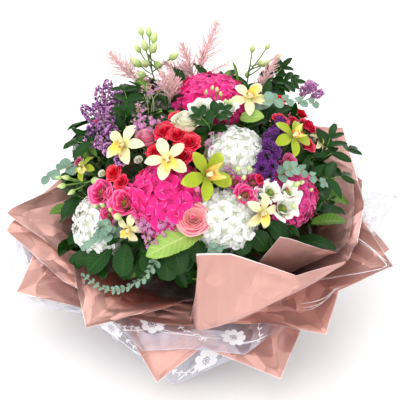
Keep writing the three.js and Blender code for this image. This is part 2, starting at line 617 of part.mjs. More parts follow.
// ---- foliage ----
const hang = (pixel, lift) => onDome(pixel, lift);
for (const [name, colour, foot, options, ...runs] of [
  ['eucalyptus_top', COLOUR.sage, [256, 112], { pairs: 4, leaf: 20, wide: 9.5, round: true, rise: 0.35 },
    [[272, 102], 16, [312, 104], 26]],
  ['eucalyptus_right', COLOUR.sage, [276, 178], { pairs: 3, leaf: 17, wide: 8, round: true, rise: 0.35, root: -4 },
    [[296, 168], 30, [322, 184], 26]],
  ['eucalyptus_left', COLOUR.sage, [84, 172], { pairs: 3, leaf: 26, wide: 12, round: true, rise: 0.3 },
    [[66, 168], 16, [50, 176], 26]],
  ['eucalyptus_low', COLOUR.sage, [118, 236], { pairs: 2, leaf: 24, wide: 9, round: true, rise: 0.5 },
    [[104, 236], 22, [86, 246], 14]],
  ['eucalyptus_front', COLOUR.sage, [214, 250], { pairs: 2, leaf: 22, wide: 10, round: true, rise: 0.4, root: -4 },
    [[216, 254], 14, [210, 260], 22]],
  ['leaves_right', COLOUR.leaf, [314, 166], { pairs: 2, leaf: 50, wide: 9, rise: 0.7 },
    [[330, 154], 14, [348, 150], 32], [[326, 178], 10, [340, 176], 22]],
  ['leaves_left', COLOUR.leaf, [112, 130], { pairs: 2, leaf: 42, wide: 10, rise: 0.7 },
    [[92, 142], 10, [76, 142], 14], [[126, 104], 6, [122, 92], 12]],
  ['leaves_top_right', COLOUR.leaf, [262, 92], { pairs: 3, leaf: 42, wide: 9, rise: 1 },
    [[274, 80], 16, [284, 72], 28]],
  ['leaves_mid', COLOUR.leaf, [210, 134], { pairs: 2, leaf: 34, wide: 8, rise: 0.7 },
    [[209, 126], 16, [206, 118], 18]],
]) {
  const twigs = runs.map(([bend, bendLift, end, endLift]) =>
    twig([onDome(foot, options.root ?? -28), onDome(bend, bendLift), onDome(end, endLift)], options));
  add(name, colour, Manifold.union(twigs), 5);
}
const backPath = [domePoint(150, 60, -24), domePoint(148, 72, 12), domePoint(146, 90, 26)];
add('leaves_back', COLOUR.leaf, twig(backPath, { pairs: 2, leaf: 64, wide: 17, rise: 0.6, face: V(-0.3, 0.5, 1) }), 5);

// Broad toothed leaves: seen root, seen tip, half width, how far tip and root stand off the dome.
function collar(list) {
  const parts = [];
  let last = null;
  for (const [root, tip, wide, off = 14, droop = 6] of list) {
    const base = onDome(root, -12);
    const end = onDome(tip, off);
    parts.push(broadLeaf(base, end, wide, { droop }));
    const heel = base.clone().lerp(end, 0.16);
    if (last) parts.push(rod([last, heel], [2, 2], 3));
    last = heel;
  }
  return Manifold.union(parts);
}
add('leaf_lime_front', COLOUR.fresh, collar([[[206, 234], [150, 257], 20, 16, 4]]), 2);
add('leaves_low', COLOUR.leaf, collar([
  [[106, 260], [70, 262], 16, 16], [[112, 250], [90, 272], 19, 12], [[126, 248], [122, 274], 18, 12],
  [[172, 246], [180, 272], 20, 12], [[200, 246], [196, 266], 17, 8], [[240, 250], [241, 268], 15, 10],
  [[252, 240], [268, 262], 18, 12], [[268, 230], [294, 238], 18, 14],
]), 2);

// Thin eucalyptus twig lying over the front edge.
const trail = [[[162, 248], 0], [[146, 276], 12], [[112, 286], 20], [[84, 274], 24]].map(([pixel, lift]) => onDome(pixel, lift));
add('eucalyptus_trailing', COLOUR.sage, twig(trail, { pairs: 3, leaf: 16, wide: 6, round: true, rise: 0.6 }), 5);

// ---- stems: a spiral through the tie, up to every bloom and down to the feet ----
function stemFoot(target, turn) {
  const a = Math.atan2(target.y, target.x) + turn;
  const r = TIE_RADIUS * spread(0.35, 0.8);
  return V(r * Math.cos(a), r * Math.sin(a), TIE_HEIGHT + 12);
}
function lowest(body) {
  const mesh = body.getMesh();
  let best = null;
  for (let i = 0; i < mesh.numVert; i += 1) {
    const [x, y, z] = mesh.vertProperties.subarray(i * mesh.numProp, i * mesh.numProp + 3);
    const far = Math.hypot(x, y, z - TIE_HEIGHT);
    if (!best || far < best.far) best = { far, point: V(x, y, z) };
  }
  return best.point;
}
const core = ringed(TIE_HEIGHT - 14, [
  { r: TIE_RADIUS * 0.9, z: TIE_HEIGHT - 13 }, { r: TIE_RADIUS * 0.9, z: TIE_HEIGHT + 13 },
], TIE_HEIGHT + 15, 9);
const stemParts = [core];
const runs = [];
const carried = [];
const CROWDED = 10 * RAD;
for (const { body, keep } of made) {
  if (keep === 'sheet') continue;
  const target = lowest(body);
  const way = target.clone().sub(V(0, 0, TIE_HEIGHT)).normalize();
  const end = target.clone().addScaledVector(way, -0.7);
  const beside = runs.find((run) => run.way.angleTo(way) < CROWDED);
  const leans = carried.some((other) => other.minGap(body, 1) < 0.5);
  carried.push(body);
  // A piece near a standing stem leans on a carried neighbour or grows from the stem's side.
  const start = beside ? beside.start.clone().lerp(beside.end, 0.62) : stemFoot(end, 0.5);
  if (way.z > 0.45 && !(beside && leans)) {
    stemParts.push(rod([start, end], [STEM_RADIUS * (beside ? 0.6 : 0.9), STEM_RADIUS * 0.6], 3));
    if (!beside) runs.push({ way, start, end });
  }
}
for (let i = 0; i < LEG_COUNT; i += 1) {
  const a = (i / LEG_COUNT) * 2 * Math.PI;
  const r = TIE_RADIUS * 0.62;
  const high = V(r * Math.cos(a - 0.6), r * Math.sin(a - 0.6), TIE_HEIGHT + 8);
  const low = V(FOOT_RADIUS * Math.cos(a), FOOT_RADIUS * Math.sin(a), 0);
  low.addScaledVector(high.clone().sub(low), -0.08);
  stemParts.push(rod([high, low], [STEM_RADIUS, STEM_RADIUS], 4));
}

// Twine round the stems inside the film, and a ribbon round the film with its bow.
function band(inner, outer, low, high, count) {
  const points = [];
  for (const [r, z] of [[inner, low], [outer, low], [outer, high], [inner, high]]) {
    for (let i = 0; i < count; i += 1) points.push(ring((360 * i) / count, r, z));
  }
  const faces = [];
  for (let k = 0; k < 4; k += 1) {
    for (let i = 0; i < count; i += 1) {
      const j = (i + 1) % count;
      const [a, b] = [k * count, ((k + 1) % 4) * count];
      faces.push([a + i, a + j, b + j], [a + i, b + j, b + i]);
    }
  }
  return solid(points, faces);
}
stemParts.push(band(TIE_RADIUS - 4, TIE_RADIUS + 3, TIE_HEIGHT - 5, TIE_HEIGHT + 5, 9));
const bunch = Manifold.union(stemParts).trimByPlane([0, 0, 1], 0).simplify(0.2);
const neck = NECK_RADIUS + 5 * LAYER_STEP + 2;
const bow = [band(neck + 1.2, neck + 3.2, TIE_HEIGHT - 17, TIE_HEIGHT - 3, 20)];
const knot = ring(60, neck + 7, TIE_HEIGHT - 14);
bow.push(put(ringed(-5, [{ r: 7, z: 0 }], 5, 6), frame(knot, ring(60, 1, 0))));
for (const [side, drop, length] of [[1, -0.5, 44], [-1, -0.5, 44], [1, -1.6, 70], [-1, -1.9, 62]]) {
  const way = ring(60 + 90 * side, 1, drop);
  bow.push(aim(blade(length, [9, 8], { thick: 1.6 }), knot, way, ring(60, 1, 0)));
}
add('ribbon', COLOUR.ribbon, Manifold.union(bow), 6);

// The bunch is parted above the twine into the stems below the flowers and their splayed ends.
const PARTING = TIE_HEIGHT + 7;
add('stems', COLOUR.stem, bunch.trimByPlane([0, 0, 1], PARTING), 7);
add('stem_ends', COLOUR.stem, bunch.trimByPlane([0, 0, -1], -PARTING), 7);

// ---- fitting: each piece gives way to those set before it, with a small gap ----
function grown(body, by) {
  const mesh = body.getMesh();
  const n = mesh.numProp;
  const push = Array.from({ length: mesh.numVert }, () => V(0, 0, 0));
  const corner = (i) => V(...mesh.vertProperties.subarray(i * n, i * n + 3));
  for (let t = 0; t < mesh.numTri; t += 1) {
    const ids = mesh.triVerts.subarray(t * 3, t * 3 + 3);
    const [a, b, c] = [...ids].map(corner);
    const normal = b.sub(a).cross(c.sub(a)).normalize();
    ids.forEach((i) => push[i].add(normal));
  }
  const vertProperties = new Float32Array(mesh.numVert * 3);
  push.forEach((p, i) => corner(i).addScaledVector(p.normalize(), by).toArray(vertProperties, i * 3));
  return new Manifold(new Mesh({ numProp: 3, vertProperties, triVerts: mesh.triVerts }));
}
const largest = (body) => body.decompose().reduce((a, b) => (b.volume() > a.volume() ? b : a));
const apart = (a, b) => {
  const [p, q] = [a.boundingBox(), b.boundingBox()];
  return [0, 1, 2].some((k) => p.min[k] > q.max[k] || q.min[k] > p.max[k]);
};

// Takes the room of one piece out of another; where they still meet, the other is moved about.
const NUDGES = [-GAP, GAP].flatMap((d) => [[d, 0, 0], [0, d, 0], [0, 0, d]]);
function giveWay(body, other) {
  if (apart(body, other.guard)) return body;
  const cut = largest(body.subtract(other.guard));
  if (cut.intersect(other.body).volume() < 1e-4) return cut;
  return largest(NUDGES.reduce((rest, nudge) => rest.subtract(other.body.translate(nudge)), cut));
}

const fitted = [];
made.sort((a, b) => a.rank - b.rank);
for (const { name, colour, body, keep } of made) {
  const cut = fitted.reduce(giveWay, fitted.reduce(giveWay, body.simplify(0.35)));
  const guard = grown(keep === 'hull' ? cut.hull() : cut, GAP);
  fitted.push({ name, colour, body: cut, guard });
}

const bouquet = new THREE.Group();
bouquet.name = 'mixed_flower_bouquet';
for (const { name, colour, body } of fitted) {
  const mesh = body.getMesh();
  const geometry = new THREE.BufferGeometry();
  geometry.setAttribute('position', new THREE.BufferAttribute(mesh.vertProperties.slice(), 3));
  geometry.setIndex(new THREE.BufferAttribute(mesh.triVerts.slice(), 1));
  const part = new THREE.Mesh(geometry, new THREE.MeshStandardMaterial({ color: colour, roughness: 0.6 }));
  part.name = name;
  bouquet.add(part);
}

// The origin is the middle of the bounding box, on the floor.
const box = new THREE.Box3().setFromObject(bouquet);
bouquet.position.set(-(box.min.x + box.max.x) / 2, -(box.min.y + box.max.y) / 2, -box.min.z);

export default bouquet;
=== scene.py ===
"""Looks of a hand-tied mixed bouquet in its wrapping films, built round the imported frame.

Shapes are worked out in millimetres from the axis of the tie, and turned into metres of the
shared frame when a piece is made.
"""
import math

import bpy
import numpy as np
from mathutils import Matrix, Vector


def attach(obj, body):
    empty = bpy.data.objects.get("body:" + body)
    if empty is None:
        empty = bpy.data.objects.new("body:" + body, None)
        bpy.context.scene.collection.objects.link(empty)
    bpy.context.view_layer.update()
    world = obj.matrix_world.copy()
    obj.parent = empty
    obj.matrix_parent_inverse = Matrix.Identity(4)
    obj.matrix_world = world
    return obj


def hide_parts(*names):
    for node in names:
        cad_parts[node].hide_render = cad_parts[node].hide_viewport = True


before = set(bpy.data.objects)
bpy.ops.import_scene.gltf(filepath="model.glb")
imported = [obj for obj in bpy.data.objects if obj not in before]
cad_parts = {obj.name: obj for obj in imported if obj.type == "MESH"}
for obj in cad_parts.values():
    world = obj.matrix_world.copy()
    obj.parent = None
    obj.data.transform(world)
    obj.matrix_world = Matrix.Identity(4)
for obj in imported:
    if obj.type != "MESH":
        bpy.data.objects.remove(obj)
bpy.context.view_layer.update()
rng = np.random.default_rng(11)

# ---- driving sizes (mm, degrees), the same as the part's ----
MM = 0.001
TIE_AXIS = np.array([-6.434, -40.695, 0.0])
DOME_RADIUS, DOME_TOP, DOME_UNDER, DOME_BASE = 250.0, 215.0, 100.0, 280.0
TIE_HEIGHT, TIE_RADIUS, FOOT_RADIUS = 110.0, 24.0, 80.0
NECK_RADIUS, LAYER_STEP = 36.0, 2.4
VIEW_DOWN, VIEW_DISTANCE, MM_PER_PIXEL = 36.0, 1800.0, 1.9
PHOTO_SIZE = 400
PHOTO_MIDDLE = PHOTO_SIZE / 2
AIM = np.array([0.0, 0.0, 261.0])
DOWN = math.radians(VIEW_DOWN)
VIEW = np.array([0.0, math.cos(DOWN), -math.sin(DOWN)])
VIEW_UP = np.array([0.0, math.sin(DOWN), math.cos(DOWN)])
EYE = AIM - VIEW * VIEW_DISTANCE
# Golden angle in radians, by which leaves and petals follow each other round a spiral.
GOLDEN = 2.399963

# How far the roots of plumes, sprays and leafy twigs lie off the dome of flowers.
PLUME_ROOT, SPRAY_ROOT, TWIG_ROOT = -34, -30, -28
# Straight run of a stalk below its bloom, and how deep the stalks of a spray meet.
STALK_RUN, FORK_DEPTH = 34, 44


# ---- placing by what is seen in the photograph ----
def unit(v):
    v = np.asarray(v, float)
    return v / np.linalg.norm(v)


def sight_line(pixel):
    right = (pixel[0] - PHOTO_MIDDLE) * MM_PER_PIXEL
    up = (PHOTO_MIDDLE - pixel[1]) * MM_PER_PIXEL
    return unit(VIEW * VIEW_DISTANCE + np.array([right, 0, 0]) + VIEW_UP * up)


def on_dome(pixel, lift=0.0):
    """Where a sight line first meets the dome of flowers, raised by lift."""
    ray = sight_line(pixel)
    wide = DOME_RADIUS + lift
    for high in (DOME_TOP + lift, DOME_UNDER + lift):
        k = np.array([1 / wide, 1 / wide, 1 / high])
        o = (EYE - np.array([0, 0, DOME_BASE])) * k
        d = ray * k
        b = o @ d / (d @ d)
        c = (o @ o - 1) / (d @ d)
        point = EYE + ray * (-b - math.sqrt(max(0, b * b - c)))
        if point[2] >= DOME_BASE or high < DOME_TOP:
            return point


def at_depth(pixel, y):
    """Where a sight line meets the upright plane of one y."""
    ray = sight_line(pixel)
    return EYE + ray * (y - EYE[1]) / ray[1]


def dome_point(bearing, tilt, lift=0.0):
    """Point of the raised dome at a bearing, tilted down from its top."""
    b, t = math.radians(bearing), math.radians(tilt)
    s = math.sin(t) * (DOME_RADIUS + lift)
    return np.array([s * math.cos(b), s * math.sin(b), DOME_BASE + math.cos(t) * (DOME_TOP + lift)])


def growth(point):
    """Direction in which a stem grows through a point."""
    x, y, z = point
    return unit(unit([x, y, (z - DOME_BASE) * 1.3 + 60]) + np.array([0, 0, 0.15]))


def frame_at(point, axis, spin=0.0, scale=1.0):
    """Matrix with z along axis, x to the side and the whole turned by spin degrees about z."""
    z = unit(axis)
    side = np.array([1.0, 0, 0]) if abs(z[2]) > 0.95 else np.array([0, 0, 1.0])
    x = unit(np.cross(side, z))
    y = np.cross(z, x)
    c, s = math.cos(math.radians(spin)), math.sin(math.radians(spin))
    m = np.eye(4)
    m[:3, 0] = (x * c + y * s) * scale
    m[:3, 1] = (y * c - x * s) * scale
    m[:3, 2] = z * scale
    m[:3, 3] = point
    return m


def tilted(m, tilt):
    """Matrix of the same place whose z leans by a vector."""
    return frame_at(m[:3, 3], m[:3, 2] + np.array(tilt))


def aimed(point, direction, face, scale=1.0):
    """Matrix that sends +x along direction and +z as near to face as it can."""
    x = unit(direction)
    y = unit(np.cross(face, x))
    z = np.cross(x, y)
    m = np.eye(4)
    m[:3, 0], m[:3, 1], m[:3, 2], m[:3, 3] = x * scale, y * scale, z * scale, point
    return m


def turned(axis, degrees, shift=(0, 0, 0)):
    """Turn about x, y or z after a move."""
    c, s = math.cos(math.radians(degrees)), math.sin(math.radians(degrees))
    i, j = {"x": (1, 2), "y": (2, 0), "z": (0, 1)}[axis]
    m = np.eye(4)
    m[i, i], m[i, j], m[j, i], m[j, j] = c, -s, s, c
    m[:3, 3] = m[:3, :3] @ np.asarray(shift, float)
    return m


# ---- small meshes: (points, quads, triangles, tint), tint = along, across, layer (a petal's ring, or a film's painted light) ----
NO_TRIS = np.zeros((0, 3), int)
NO_QUADS = np.zeros((0, 4), int)


def grid(x, y, z, along, across, layer=0.0, closed=False):
    """Sheet of quads through rows and columns of points; closed joins the last column to the first."""
    rows, cols = np.broadcast(x, y, z).shape
    ids = np.arange(rows * cols).reshape(rows, cols)
    if closed:
        ids = np.column_stack([ids, ids[:, 0]])
    quads = np.stack([ids[:-1, :-1], ids[1:, :-1], ids[1:, 1:], ids[:-1, 1:]], -1).reshape(-1, 4)
    full = [np.broadcast_to(v, (rows, cols)).ravel() for v in (x, y, z, along, across, layer)]
    return np.column_stack(full[:3]), quads, NO_TRIS, np.column_stack(full[3:])


def moved(part, matrix):
    points, quads, tris, tint = part
    return points @ matrix[:3, :3].T + matrix[:3, 3], quads, tris, tint


def joined(parts):
    starts = np.cumsum([0] + [len(p[0]) for p in parts[:-1]])
    return (
        np.concatenate([p[0] for p in parts]),
        np.concatenate([p[1] + s for p, s in zip(parts, starts)]),
        np.concatenate([p[2] + s for p, s in zip(parts, starts)]),
        np.concatenate([p[3] for p in parts]),
    )


def petal(length, width, outline, *, rows=8, cols=5, lift=0, bend=0, power=1, cup=0, keel=0,
          ruffle=0, waves=2.0, phase=0.0, teeth=0):
    """Blade along +x with its face up; outline is (share of length, share of half width) pairs."""
    t = np.linspace(0, 1, rows)[:, None]
    u = np.linspace(-1, 1, cols)[None, :]
    middle = np.radians(lift + bend * ((t[:-1, 0] + t[1:, 0]) / 2) ** power)
    step = length / (rows - 1)
    run = np.concatenate([[0], np.cumsum(np.cos(middle) * step)])[:, None]
    climb = np.concatenate([[0], np.cumsum(np.sin(middle) * step)])[:, None]
    lean = np.radians(lift + bend * t ** power)
    half = width * np.interp(t[:, 0], *zip(*outline))[:, None]
    if teeth:
        half = half * (1 + 0.1 * (((t * teeth) % 1) - 0.5))
    wave = ruffle * length * t ** 1.3 * np.abs(u) * np.sin(waves * 2 * np.pi * t + 2.5 * u + phase)
    rise = cup * half * u ** 2 + keel * half * np.abs(u) + wave
    x = run - np.sin(lean) * rise
    return grid(x, half * u, climb + np.cos(lean) * rise, t, 0.5 + 0.5 * u)


def tube(path, radii, sides=6):
    path = np.asarray(path, float)
    radii = np.broadcast_to(radii, len(path))
    ways = np.gradient(path, axis=0)
    rings = []
    side = np.array([0.3, 0.2, 1.0])
    a = np.arange(sides) / sides * 2 * np.pi
    for p, way, r in zip(path, ways, radii):
        z = unit(way)
        x = unit(side - z * (side @ z))
        y = np.cross(z, x)
        side = x
        rings.append(p + r * (np.cos(a)[:, None] * x + np.sin(a)[:, None] * y))
    x, y, z = np.array(rings).transpose(2, 0, 1)
    return grid(x, y, z, np.linspace(0, 1, len(path))[:, None], 0.5, closed=True)


def lathe(profile, sides=10, lobes=0, deep=0.0):
    """Surface of (radius, height) pairs turned round z."""
    a = np.arange(sides)[None, :] / sides * 2 * np.pi
    r = np.array([p[0] for p in profile])[:, None] * (1 + deep * np.cos(lobes * a))
    z = np.array([p[1] for p in profile])[:, None]
    t = np.linspace(0, 1, len(profile))[:, None]
    return grid(r * np.cos(a), r * np.sin(a), z + 0 * a, t, 0.5, closed=True)


def curve_through(points, count):
    """Smooth line through a few points."""
    points = np.asarray(points, float)
    ends = np.vstack([2 * points[0] - points[1], points, 2 * points[-1] - points[-2]])
    line = []
    for s in np.linspace(0, len(points) - 1, count):
        i = min(int(s), len(points) - 2)
        f = s - i
        p0, p1, p2, p3 = ends[i:i + 4]
        line.append(0.5 * (2 * p1 + (p2 - p0) * f + (2 * p0 - 5 * p1 + 4 * p2 - p3) * f ** 2
                           + (3 * p1 - p0 - 3 * p2 + p3) * f ** 3))
    return np.array(line)


def smooth(t, low, high):
    s = np.clip((t - low) / (high - low), 0, 1)
    return s * s * (3 - 2 * s)


# ---- materials ----
def rgb(r, g, b):
    """Linear colour of a display colour."""
    return tuple(((v / 255 + 0.055) / 1.055) ** 2.4 if v > 10 else v / 3294 for v in (r, g, b)) + (1.0,)


class Shader:
    """A procedural material under construction."""

    def __init__(self, name, roughness, **fixed):
        self.material = bpy.data.materials.new(name)
        self.material.use_nodes = True
        self.tree = self.material.node_tree
        self.surface = self.tree.nodes["Principled BSDF"]
        self.surface.inputs["Roughness"].default_value = roughness
        for key, value in fixed.items():
            self.surface.inputs[key.replace("_", " ")].default_value = value
        tint = self.node("ShaderNodeAttribute", attribute_name="tint")
        parts = self.node("ShaderNodeSeparateColor", {0: tint.outputs["Color"]})
        self.along, self.across, self.pick = parts.outputs
        # Fourth tint channel: a petal's ring in its bloom, or the painted light of a film.
        self.layer = tint.outputs["Alpha"]

    def node(self, kind, inputs=(), **settings):
        """New node with its settings made, and values or sockets fed to some of its inputs."""
        made = self.tree.nodes.new(kind)
        for key, value in settings.items():
            setattr(made, key, value)
        for key, value in dict(inputs).items():
            self.feed(made.inputs[key], value)
        return made

    def feed(self, socket, value):
        if isinstance(value, bpy.types.NodeSocket):
            self.tree.links.new(value, socket)
        else:
            socket.default_value = value

    def calc(self, operation, *values, clamp=False):
        return self.node("ShaderNodeMath", enumerate(values), operation=operation, use_clamp=clamp).outputs[0]

    def vector(self, operation, *values):
        made = self.node("ShaderNodeVectorMath", enumerate(values), operation=operation)
        return made.outputs["Value" if operation == "DOT_PRODUCT" else "Vector"]

    def mix(self, share, a, b, blend="MIX"):
        """Mix of two colours, which the node takes at sockets 6 and 7 and gives at 2."""
        made = self.node("ShaderNodeMix", {0: share, 6: a, 7: b}, data_type="RGBA", blend_type=blend)
        return made.outputs[2]

    def ramp(self, value, stops):
        made = self.node("ShaderNodeValToRGB", {0: value})
        points = made.color_ramp.elements
        while len(points) < len(stops):
            points.new(0.5)
        for point, (place, colour) in zip(points, stops):
            point.position = place
            point.color = colour
        return made.outputs[0]

    def noise(self, scale, detail=3.0):
        place = self.node("ShaderNodeTexCoord").outputs["Object"]
        grain = {"Vector": place, "Scale": scale, "Detail": detail, "Roughness": 0.55}
        return self.node("ShaderNodeTexNoise", grain).outputs[0]

    def shaded(self, colour, scale=140.0, depth=0.16):
        """Mottles a colour and varies it from one petal or leaf to the next."""
        mottle = self.calc("MULTIPLY_ADD", self.noise(scale), depth, 1 - depth * 0.5)
        value = self.calc("MULTIPLY", mottle, self.calc("MULTIPLY_ADD", self.pick, 0.22, 0.89))
        hue = self.calc("MULTIPLY_ADD", self.pick, 0.012, 0.492)
        return self.node("ShaderNodeHueSaturation", {"Hue": hue, "Value": value, "Color": colour}).outputs[0]

    def relief(self, height, strength, distance=0.0006):
        bump = self.node("ShaderNodeBump", {"Strength": strength, "Distance": distance, "Height": height})
        self.feed(self.surface.inputs["Normal"], bump.outputs[0])

    def finish(self, colour):
        self.feed(self.surface.inputs["Base Color"], colour)
        return self.material


def petals(name, deep, body, edge, *, edge_from=0.8, veins=26.0, rough=0.5, sheen=0.2, patchy=0.0, soft=0.3):
    """Petal: deep at its root, the body colour, and an edge colour with a broken border."""
    s = Shader(name, rough, Sheen_Weight=sheen, Specular_IOR_Level=0.3, Subsurface_Weight=soft,
               Subsurface_Scale=0.006, Subsurface_Radius=(1.0, 0.8, 0.8))
    border = s.calc("MULTIPLY_ADD", s.noise(260.0), patchy, s.along)
    if patchy:
        border = s.calc("SUBTRACT", border, patchy * 0.5)
    stops = ((0.0, deep), (0.4, body), (edge_from, body), (min(1.0, edge_from + 0.17), edge))
    colour = s.ramp(border, [(place, rgb(*shade)) for place, shade in stops])
    ribs = s.calc("SINE", s.calc("MULTIPLY", s.across, veins))
    s.relief(s.calc("MULTIPLY_ADD", s.noise(420.0), 0.7, ribs), 0.35)
    return s.finish(s.shaded(colour))


def foliage(name, dark, light, vein, *, rough=0.34, veins=9.0, bloom=0.0, relief=0.5):
    """Leaf: midrib, slanting side veins and a mottled blade."""
    s = Shader(name, rough, Specular_IOR_Level=0.22, Sheen_Weight=bloom)
    off = s.calc("ABSOLUTE", s.calc("SUBTRACT", s.across, 0.5))
    slant = s.calc("FRACT", s.calc("MULTIPLY_ADD", s.along, veins, s.calc("MULTIPLY", off, -3.2)))
    from_vein = s.calc("ABSOLUTE", s.calc("SUBTRACT", slant, 0.5))
    side = s.calc("SMOOTH_MIN", s.calc("MULTIPLY", from_vein, 7.0), 1.0, 0.1)
    rib = s.calc("MULTIPLY", off, 22.0, clamp=True)
    line = s.calc("MINIMUM", rib, s.calc("MULTIPLY_ADD", side, 0.5, 0.5))
    blade = s.mix(s.noise(38.0, 4.0), rgb(*dark), rgb(*light))
    s.relief(s.calc("MULTIPLY_ADD", s.noise(300.0), 0.25, line), relief, 0.0012)
    return s.finish(s.shaded(s.mix(line, rgb(*vein), blade), 90.0, 0.2))


def plain(name, low, high, *, rough=0.5, scale=120.0, relief=0.3):
    """Stalk, bud or twine: two colours from root to tip, mottled."""
    s = Shader(name, rough)
    s.relief(s.noise(scale * 4), relief)
    return s.finish(s.shaded(s.mix(s.along, rgb(*low), rgb(*high)), scale))


MATERIAL = {
    "pink": petals("hydrangea_hot_pink", (186, 0, 84), (240, 8, 126), (255, 104, 182), edge_from=0.82,
                   soft=0.15),
    "raspberry": petals("hydrangea_raspberry", (140, 8, 70), (222, 34, 124), (246, 122, 184)),
    "white": petals("hydrangea_white", (200, 210, 172), (240, 240, 234), (249, 249, 246), sheen=0.05),
    "rose": petals("rose_salmon_pink", (226, 52, 92), (244, 104, 132), (255, 196, 188), edge_from=0.86),
    "cream": petals("rose_cream", (254, 242, 180), (255, 250, 216), (255, 254, 238), rough=0.42),
    "blush": petals("rose_blush", (226, 70, 124), (248, 130, 168), (254, 204, 214), edge_from=0.84),
    "red": petals("spray_rose_red", (190, 0, 22), (236, 0, 40), (255, 160, 176), edge_from=0.96,
                  patchy=0.16, rough=0.42, sheen=0.0, soft=0.1),
    "magenta": petals("lisianthus_magenta", (176, 8, 74), (228, 34, 122), (250, 136, 186), edge_from=0.82),
    "white_open": petals("lisianthus_white", (120, 140, 40), (246, 246, 232), (250, 250, 244)),
    "lime": petals("orchid_green", (130, 136, 14), (160, 176, 22), (192, 202, 64), veins=60.0, rough=0.34),
    "pale": petals("orchid_cream", (222, 212, 116), (240, 233, 184), (246, 241, 210), veins=60.0, rough=0.38),
    "lip": petals("orchid_lip", (150, 60, 20), (238, 214, 90), (250, 236, 150), patchy=0.7, edge_from=0.6),
    "column": petals("orchid_column", (236, 226, 140), (250, 238, 190), (206, 120, 70), edge_from=0.7),
    "plume": petals("astilbe_blush", (252, 176, 184), (255, 212, 212), (255, 236, 234), rough=0.9, sheen=0.0),
    "lilac": petals("statice_lilac", (112, 40, 124), (170, 88, 174), (232, 178, 220), edge_from=0.6,
                    rough=0.7),
    "violet": petals("statice_violet", (44, 4, 60), (98, 18, 120), (140, 56, 162), rough=0.7),
    "wax": petals("waxflower_lilac", (140, 50, 110), (204, 124, 186), (232, 176, 214), rough=0.4),
    "eye": plain("flower_eye", (110, 120, 20), (226, 206, 70), rough=0.6),
    "bud": plain("lisianthus_bud", (140, 184, 72), (222, 232, 172), rough=0.42),
    "calyx": plain("calyx_green", (70, 110, 36), (140, 176, 74)),
    "stalk": plain("stalk_green", (64, 100, 36), (122, 158, 62)),
    "twig": plain("twig_pale", (120, 120, 80), (170, 176, 120), rough=0.6),
    "cut_stem": plain("cut_stem", (92, 128, 58), (64, 104, 44), rough=0.45),
    "sage": foliage("eucalyptus_leaf", (92, 128, 108), (140, 170, 150), (150, 180, 158), rough=0.6,
                    veins=4.0, bloom=0.3, relief=0.12),
    "leaf": foliage("dark_leaf", (6, 38, 6), (26, 76, 14), (44, 88, 26)),
    "leaf_mid": foliage("mid_leaf", (52, 96, 26), (112, 152, 52), (146, 178, 92)),
    "fresh": foliage("lime_leaf", (122, 164, 60), (166, 200, 100), (198, 218, 140), rough=0.4, veins=11.0),
    "twine": plain("jute_twine", (128, 98, 60), (190, 158, 108), rough=0.9, scale=500.0, relief=0.8),
}


def facets(s, place, scale, slope, stretch=(1.0, 1.0, 1.0)):
    """Height of flat facets with sharp folds between them, each tilted its own way."""
    warp = s.node("ShaderNodeTexNoise", {"Vector": place, "Scale": scale * 0.6}).outputs["Color"]
    bent = s.vector("MULTIPLY_ADD", warp, (0.45 / scale,) * 3, s.vector("MULTIPLY", place, stretch))
    cells = s.node("ShaderNodeTexVoronoi", {"Vector": bent, "Scale": scale})
    gap = s.vector("SUBTRACT", bent, cells.outputs["Position"])
    tilt = s.vector("SUBTRACT", cells.outputs["Color"], (0.5, 0.5, 0.5))
    return s.calc("MULTIPLY", s.vector("DOT_PRODUCT", gap, tilt), slope)


def crumpled(s, strength):
    """Relief of a film crushed by hand: long facets, and small ones in patches."""
    shares = (s.calc("MULTIPLY", s.across, 2.0), s.calc("MULTIPLY", s.along, 0.36),
              s.calc("MULTIPLY", s.pick, 3.0))
    place = s.node("ShaderNodeCombineXYZ", enumerate(shares)).outputs[0]
    patch = s.ramp(s.noise(6.0, 2.0), [(0.38, (0.1, 0.1, 0.1, 1)), (0.62, (1.2, 1.2, 1.2, 1))])
    small = s.calc("MULTIPLY", facets(s, place, 26.0, 1.2), patch)
    height = s.calc("ADD", facets(s, place, 11.0, 1.3, (0.5, 1.0, 1.0)), small)
    s.relief(s.calc("ADD", height, facets(s, place, 8.0, 0.9, (1.0, 0.45, 1.0))), strength, 1.0)


def cut_edge(s):
    """One along the outer edge of a film, and nothing elsewhere."""
    return s.calc("GREATER_THAN", s.along, 0.9965)


def wrap_material():
    """Rose-gold film: pearly satin with fine crumples, a pale cut edge, and painted shade that darkens it
    deep in the wrap under the flowers.
    """
    s = Shader("rose_gold_film", 0.36, Metallic=0.4, Specular_IOR_Level=0.5, Coat_Weight=0.16,
               Coat_Roughness=0.25, Sheen_Weight=0.1)
    base = s.mix(s.noise(7.0, 2.0), rgb(190, 137, 127), rgb(214, 164, 154))
    # Painted shade: the film is multiplied down to dark brown where it lies deep under the flowers near the
    # tie, and left as it is towards its rim.
    shade = s.ramp(s.layer, [(0.0, rgb(112, 60, 46)), (0.5, rgb(184, 136, 120)), (1.0, rgb(255, 255, 255))])
    base = s.mix(1.0, base, shade, "MULTIPLY")
    crumpled(s, 0.5)
    return s.finish(s.mix(cut_edge(s), base, rgb(244, 226, 222)))


